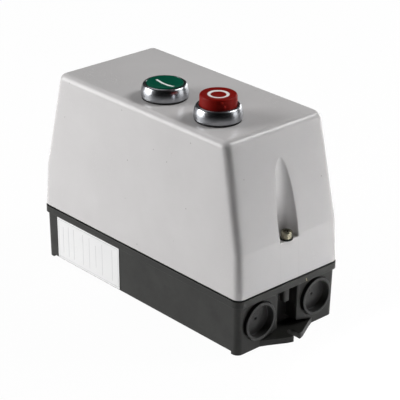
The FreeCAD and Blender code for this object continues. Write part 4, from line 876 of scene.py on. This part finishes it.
def coil(centre, low, high, outer, wire, turns):
    # Round wire along a helix. The first and last turn rise by little more than the wire, the others evenly.
    angle = np.linspace(0, 2 * math.pi * turns, springForm["stepsPerTurn"] * turns)
    turn = angle / (2 * math.pi)
    endRise = springForm["endRise"] * wire
    first, last = endRise * np.clip(turn, 0, 1), endRise * np.clip(turn - turns + 1, 0, 1)
    between = (high - low - wire - 2 * endRise) * np.clip((turn - 1) / (turns - 2), 0, 1)
    height = low + wire / 2 + first + between + last
    around = np.linspace(0, 2 * math.pi, springForm["wireSteps"], endpoint=False)[None]
    thick = np.full((len(turn), 1), wire / 2)
    thick[[0, -1]] = 0
    radius = outer - wire / 2 + thick * np.cos(around)
    x, y = radius * np.cos(angle[:, None]), radius * np.sin(angle[:, None])
    return np.stack([centre.x + x, centre.y + y, height[:, None] + thick * np.sin(around)], axis=-1)


def makeSprings(name, node, body, wire, turns, shown):
    # A coil at each end of the node's box that shown names.
    low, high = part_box(node)
    outer, y = (high.y - low.y) / 2, (low.y + high.y) / 2
    centres = {"first": Vector((low.x + outer, y, 0)), "last": Vector((high.x - outer, y, 0))}
    grids = [(coil(centres[end], low.z, high.z, outer, wire, turns), True) for end in shown]
    piece = makePiece(name, grids, "spring_steel", body, [node])
    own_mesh(piece)


for button in ("start", "stop"):
    makeSprings(button + "_springCoil", button + "_spring", "cover",
                springForm["buttonWire"], springForm["buttonTurns"], ("first",))
makeSprings("returnCoils", "contactor_return_springs", "tray",
            springForm["returnWire"], springForm["returnTurns"], ("first", "last"))
print("springs made")


# Stage, lamps and camera

floorForm = {"half": 6.0, "paper": 0.92, "frontPaper": 0.20, "front": (0.73, -0.68, 0),
             "frontRange": (0.10, 0.30), "glow": 0.97, "roughness": 0.9, "specular": 0.1,
             "mirrorRange": (0.25, 0.8), "mirrorFar": 0.2, "mirrorFront": 0.25}


def makeFloor():
    # White paper that the camera sees as white. Its front is darker, and pieces mirror its far parts less.
    half = floorForm["half"]
    grid = np.stack(np.meshgrid([-half, half], [-half, half], [0.0], indexing="ij"), axis=-1)[:, :, 0]
    mesh = bpy.data.meshes.new("floor")
    mesh.from_pydata(grid.reshape(-1, 3).tolist(), [], [[0, 2, 3, 1]])
    floor = bpy.data.objects.new("floor", mesh)
    bpy.context.collection.objects.link(floor)
    material, tree, shader = newMaterial("floorPaper")
    shader.inputs["Roughness"].default_value = floorForm["roughness"]
    shader.inputs["Specular IOR Level"].default_value = floorForm["specular"]
    glow = tree.nodes.new("ShaderNodeEmission")
    path = tree.nodes.new("ShaderNodeLightPath")
    mix = tree.nodes.new("ShaderNodeMixShader")
    away = tree.nodes.new("ShaderNodeVectorMath")
    away.operation = "LENGTH"
    join(tree, placeNode(tree), away.inputs[0])
    near = spread(tree, away.outputs["Value"], *floorForm["mirrorRange"], 1.0, floorForm["mirrorFar"], True)
    ahead = tree.nodes.new("ShaderNodeVectorMath")
    ahead.operation = "DOT_PRODUCT"
    join(tree, placeNode(tree), ahead.inputs[0])
    ahead.inputs[1].default_value = floorForm["front"]
    front = spread(tree, ahead.outputs["Value"], *floorForm["frontRange"], smooth=True)
    paper, dark = floorForm["paper"], floorForm["frontPaper"]
    join(tree, mixColors(tree, front, (paper,) * 3, (dark,) * 3), shader.inputs["Base Color"])
    mirrored = product(tree, path.outputs["Is Glossy Ray"], near,
                       spread(tree, front, 0, 1, 1.0, floorForm["mirrorFront"]))
    seen = calc(tree, "MAXIMUM", path.outputs["Is Camera Ray"],
                calc(tree, "MAXIMUM", mirrored, path.outputs["Is Transmission Ray"]))
    join(tree, product(tree, seen, floorForm["glow"]), mix.inputs["Fac"])
    join(tree, shader.outputs[0], mix.inputs[1])
    join(tree, glow.outputs[0], mix.inputs[2])
    join(tree, mix.outputs[0], tree.nodes["Material Output"].inputs["Surface"])
    mesh.materials.append(material)


# turn is the lamp's angle from X in degrees. A lamp with a spread shines straight down on the paper.
aimHeight = 0.08
lampForm = {
    "leftBox": {"turn": -133, "away": 1.3, "height": 0.44, "size": (0.9, 0.84), "power": 20.0},
    "rightBox": {"turn": 42, "away": 1.15, "height": 0.34, "size": (0.45, 0.56), "power": 1.8},
    "farBox": {"turn": 98, "away": 1.25, "height": 0.3, "size": (0.8, 0.5), "power": 4.8},
    "backBox": {"turn": 172, "away": 0.5, "height": 0.95, "size": (0.5, 0.5), "power": 0.7},
    "endWash": {"turn": 26, "away": 0.27, "height": 0.45, "size": (0.06, 0.25), "power": 2.3, "spread": 30},
    "edgeBox": {"turn": 56, "away": 0.62, "height": 0.72, "size": (0.3, 0.3), "power": 4.0},
}


def makeLamps():
    for name, form in lampForm.items():
        data = bpy.data.lights.new(name, "AREA")
        data.shape = "RECTANGLE"
        data.size, data.size_y = form["size"]
        data.energy = form["power"]
        lamp = bpy.data.objects.new(name, data)
        turn, away = math.radians(form["turn"]), form["away"]
        lamp.location = (away * math.cos(turn), away * math.sin(turn), form["height"])
        aim = Vector((0, 0, aimHeight)) - lamp.location
        if "spread" in form:
            aim = Vector((0, 0, -1))
            data.spread = math.radians(form["spread"])
        lamp.rotation_mode = "QUATERNION"
        lamp.rotation_quaternion = aim.to_track_quat("-Z", "Y")
        lamp.visible_camera = False
        bpy.context.collection.objects.link(lamp)


worldForm = {"horizon": 0.03, "zenith": 0.05, "dark": 0.05, "front": (0.71, -0.66, 0.24),
             "frontRange": (0.85, 0.2)}


def makeWorld():
    # Dim room, darkest in front of the object, that the camera itself sees as white
    world = bpy.data.worlds.new("room")
    bpy.context.scene.world = world
    world.use_nodes = True
    tree = world.node_tree
    parts = tree.nodes.new("ShaderNodeSeparateXYZ")
    source = tree.nodes.new("ShaderNodeTexCoord")
    join(tree, source.outputs["Generated"], parts.inputs[0])
    height = spread(tree, parts.outputs[2], 0.0, 1.0, worldForm["horizon"], worldForm["zenith"])
    aim = tree.nodes.new("ShaderNodeVectorMath")
    aim.operation = "DOT_PRODUCT"
    join(tree, source.outputs["Generated"], aim.inputs[0])
    aim.inputs[1].default_value = worldForm["front"]
    outside = spread(tree, aim.outputs["Value"], *worldForm["frontRange"], worldForm["dark"], 1.0, True)
    path = tree.nodes.new("ShaderNodeLightPath")
    background = tree.nodes["Background"]
    strength = calc(tree, "MAXIMUM", product(tree, height, outside), path.outputs["Is Camera Ray"])
    join(tree, strength, background.inputs["Strength"])
    background.inputs["Color"].default_value = (1, 1, 1, 1)


cameraForm = {
    "lens": 145.64, "sensor": 36.0, "place": (0.68804, -0.62420, 0.48842),
    "right": (0.67529, 0.73748, 0.01011), "up": (-0.31581, 0.27673, 0.90757),
    "forward": (-0.66652, 0.61607, -0.41978),
}


def makeCamera():
    data = bpy.data.cameras.new("camera")
    data.lens, data.sensor_width = cameraForm["lens"], cameraForm["sensor"]
    camera = bpy.data.objects.new("camera", data)
    axes = Matrix((cameraForm["right"], cameraForm["up"], [-v for v in cameraForm["forward"]])).transposed()
    camera.matrix_world = Matrix.Translation(cameraForm["place"]) @ axes.to_4x4()
    bpy.context.collection.objects.link(camera)
    bpy.context.scene.camera = camera


makeFloor()
makeLamps()
makeWorld()
makeCamera()
bpy.context.scene.view_settings.view_transform = "Standard"
print("stage ready")
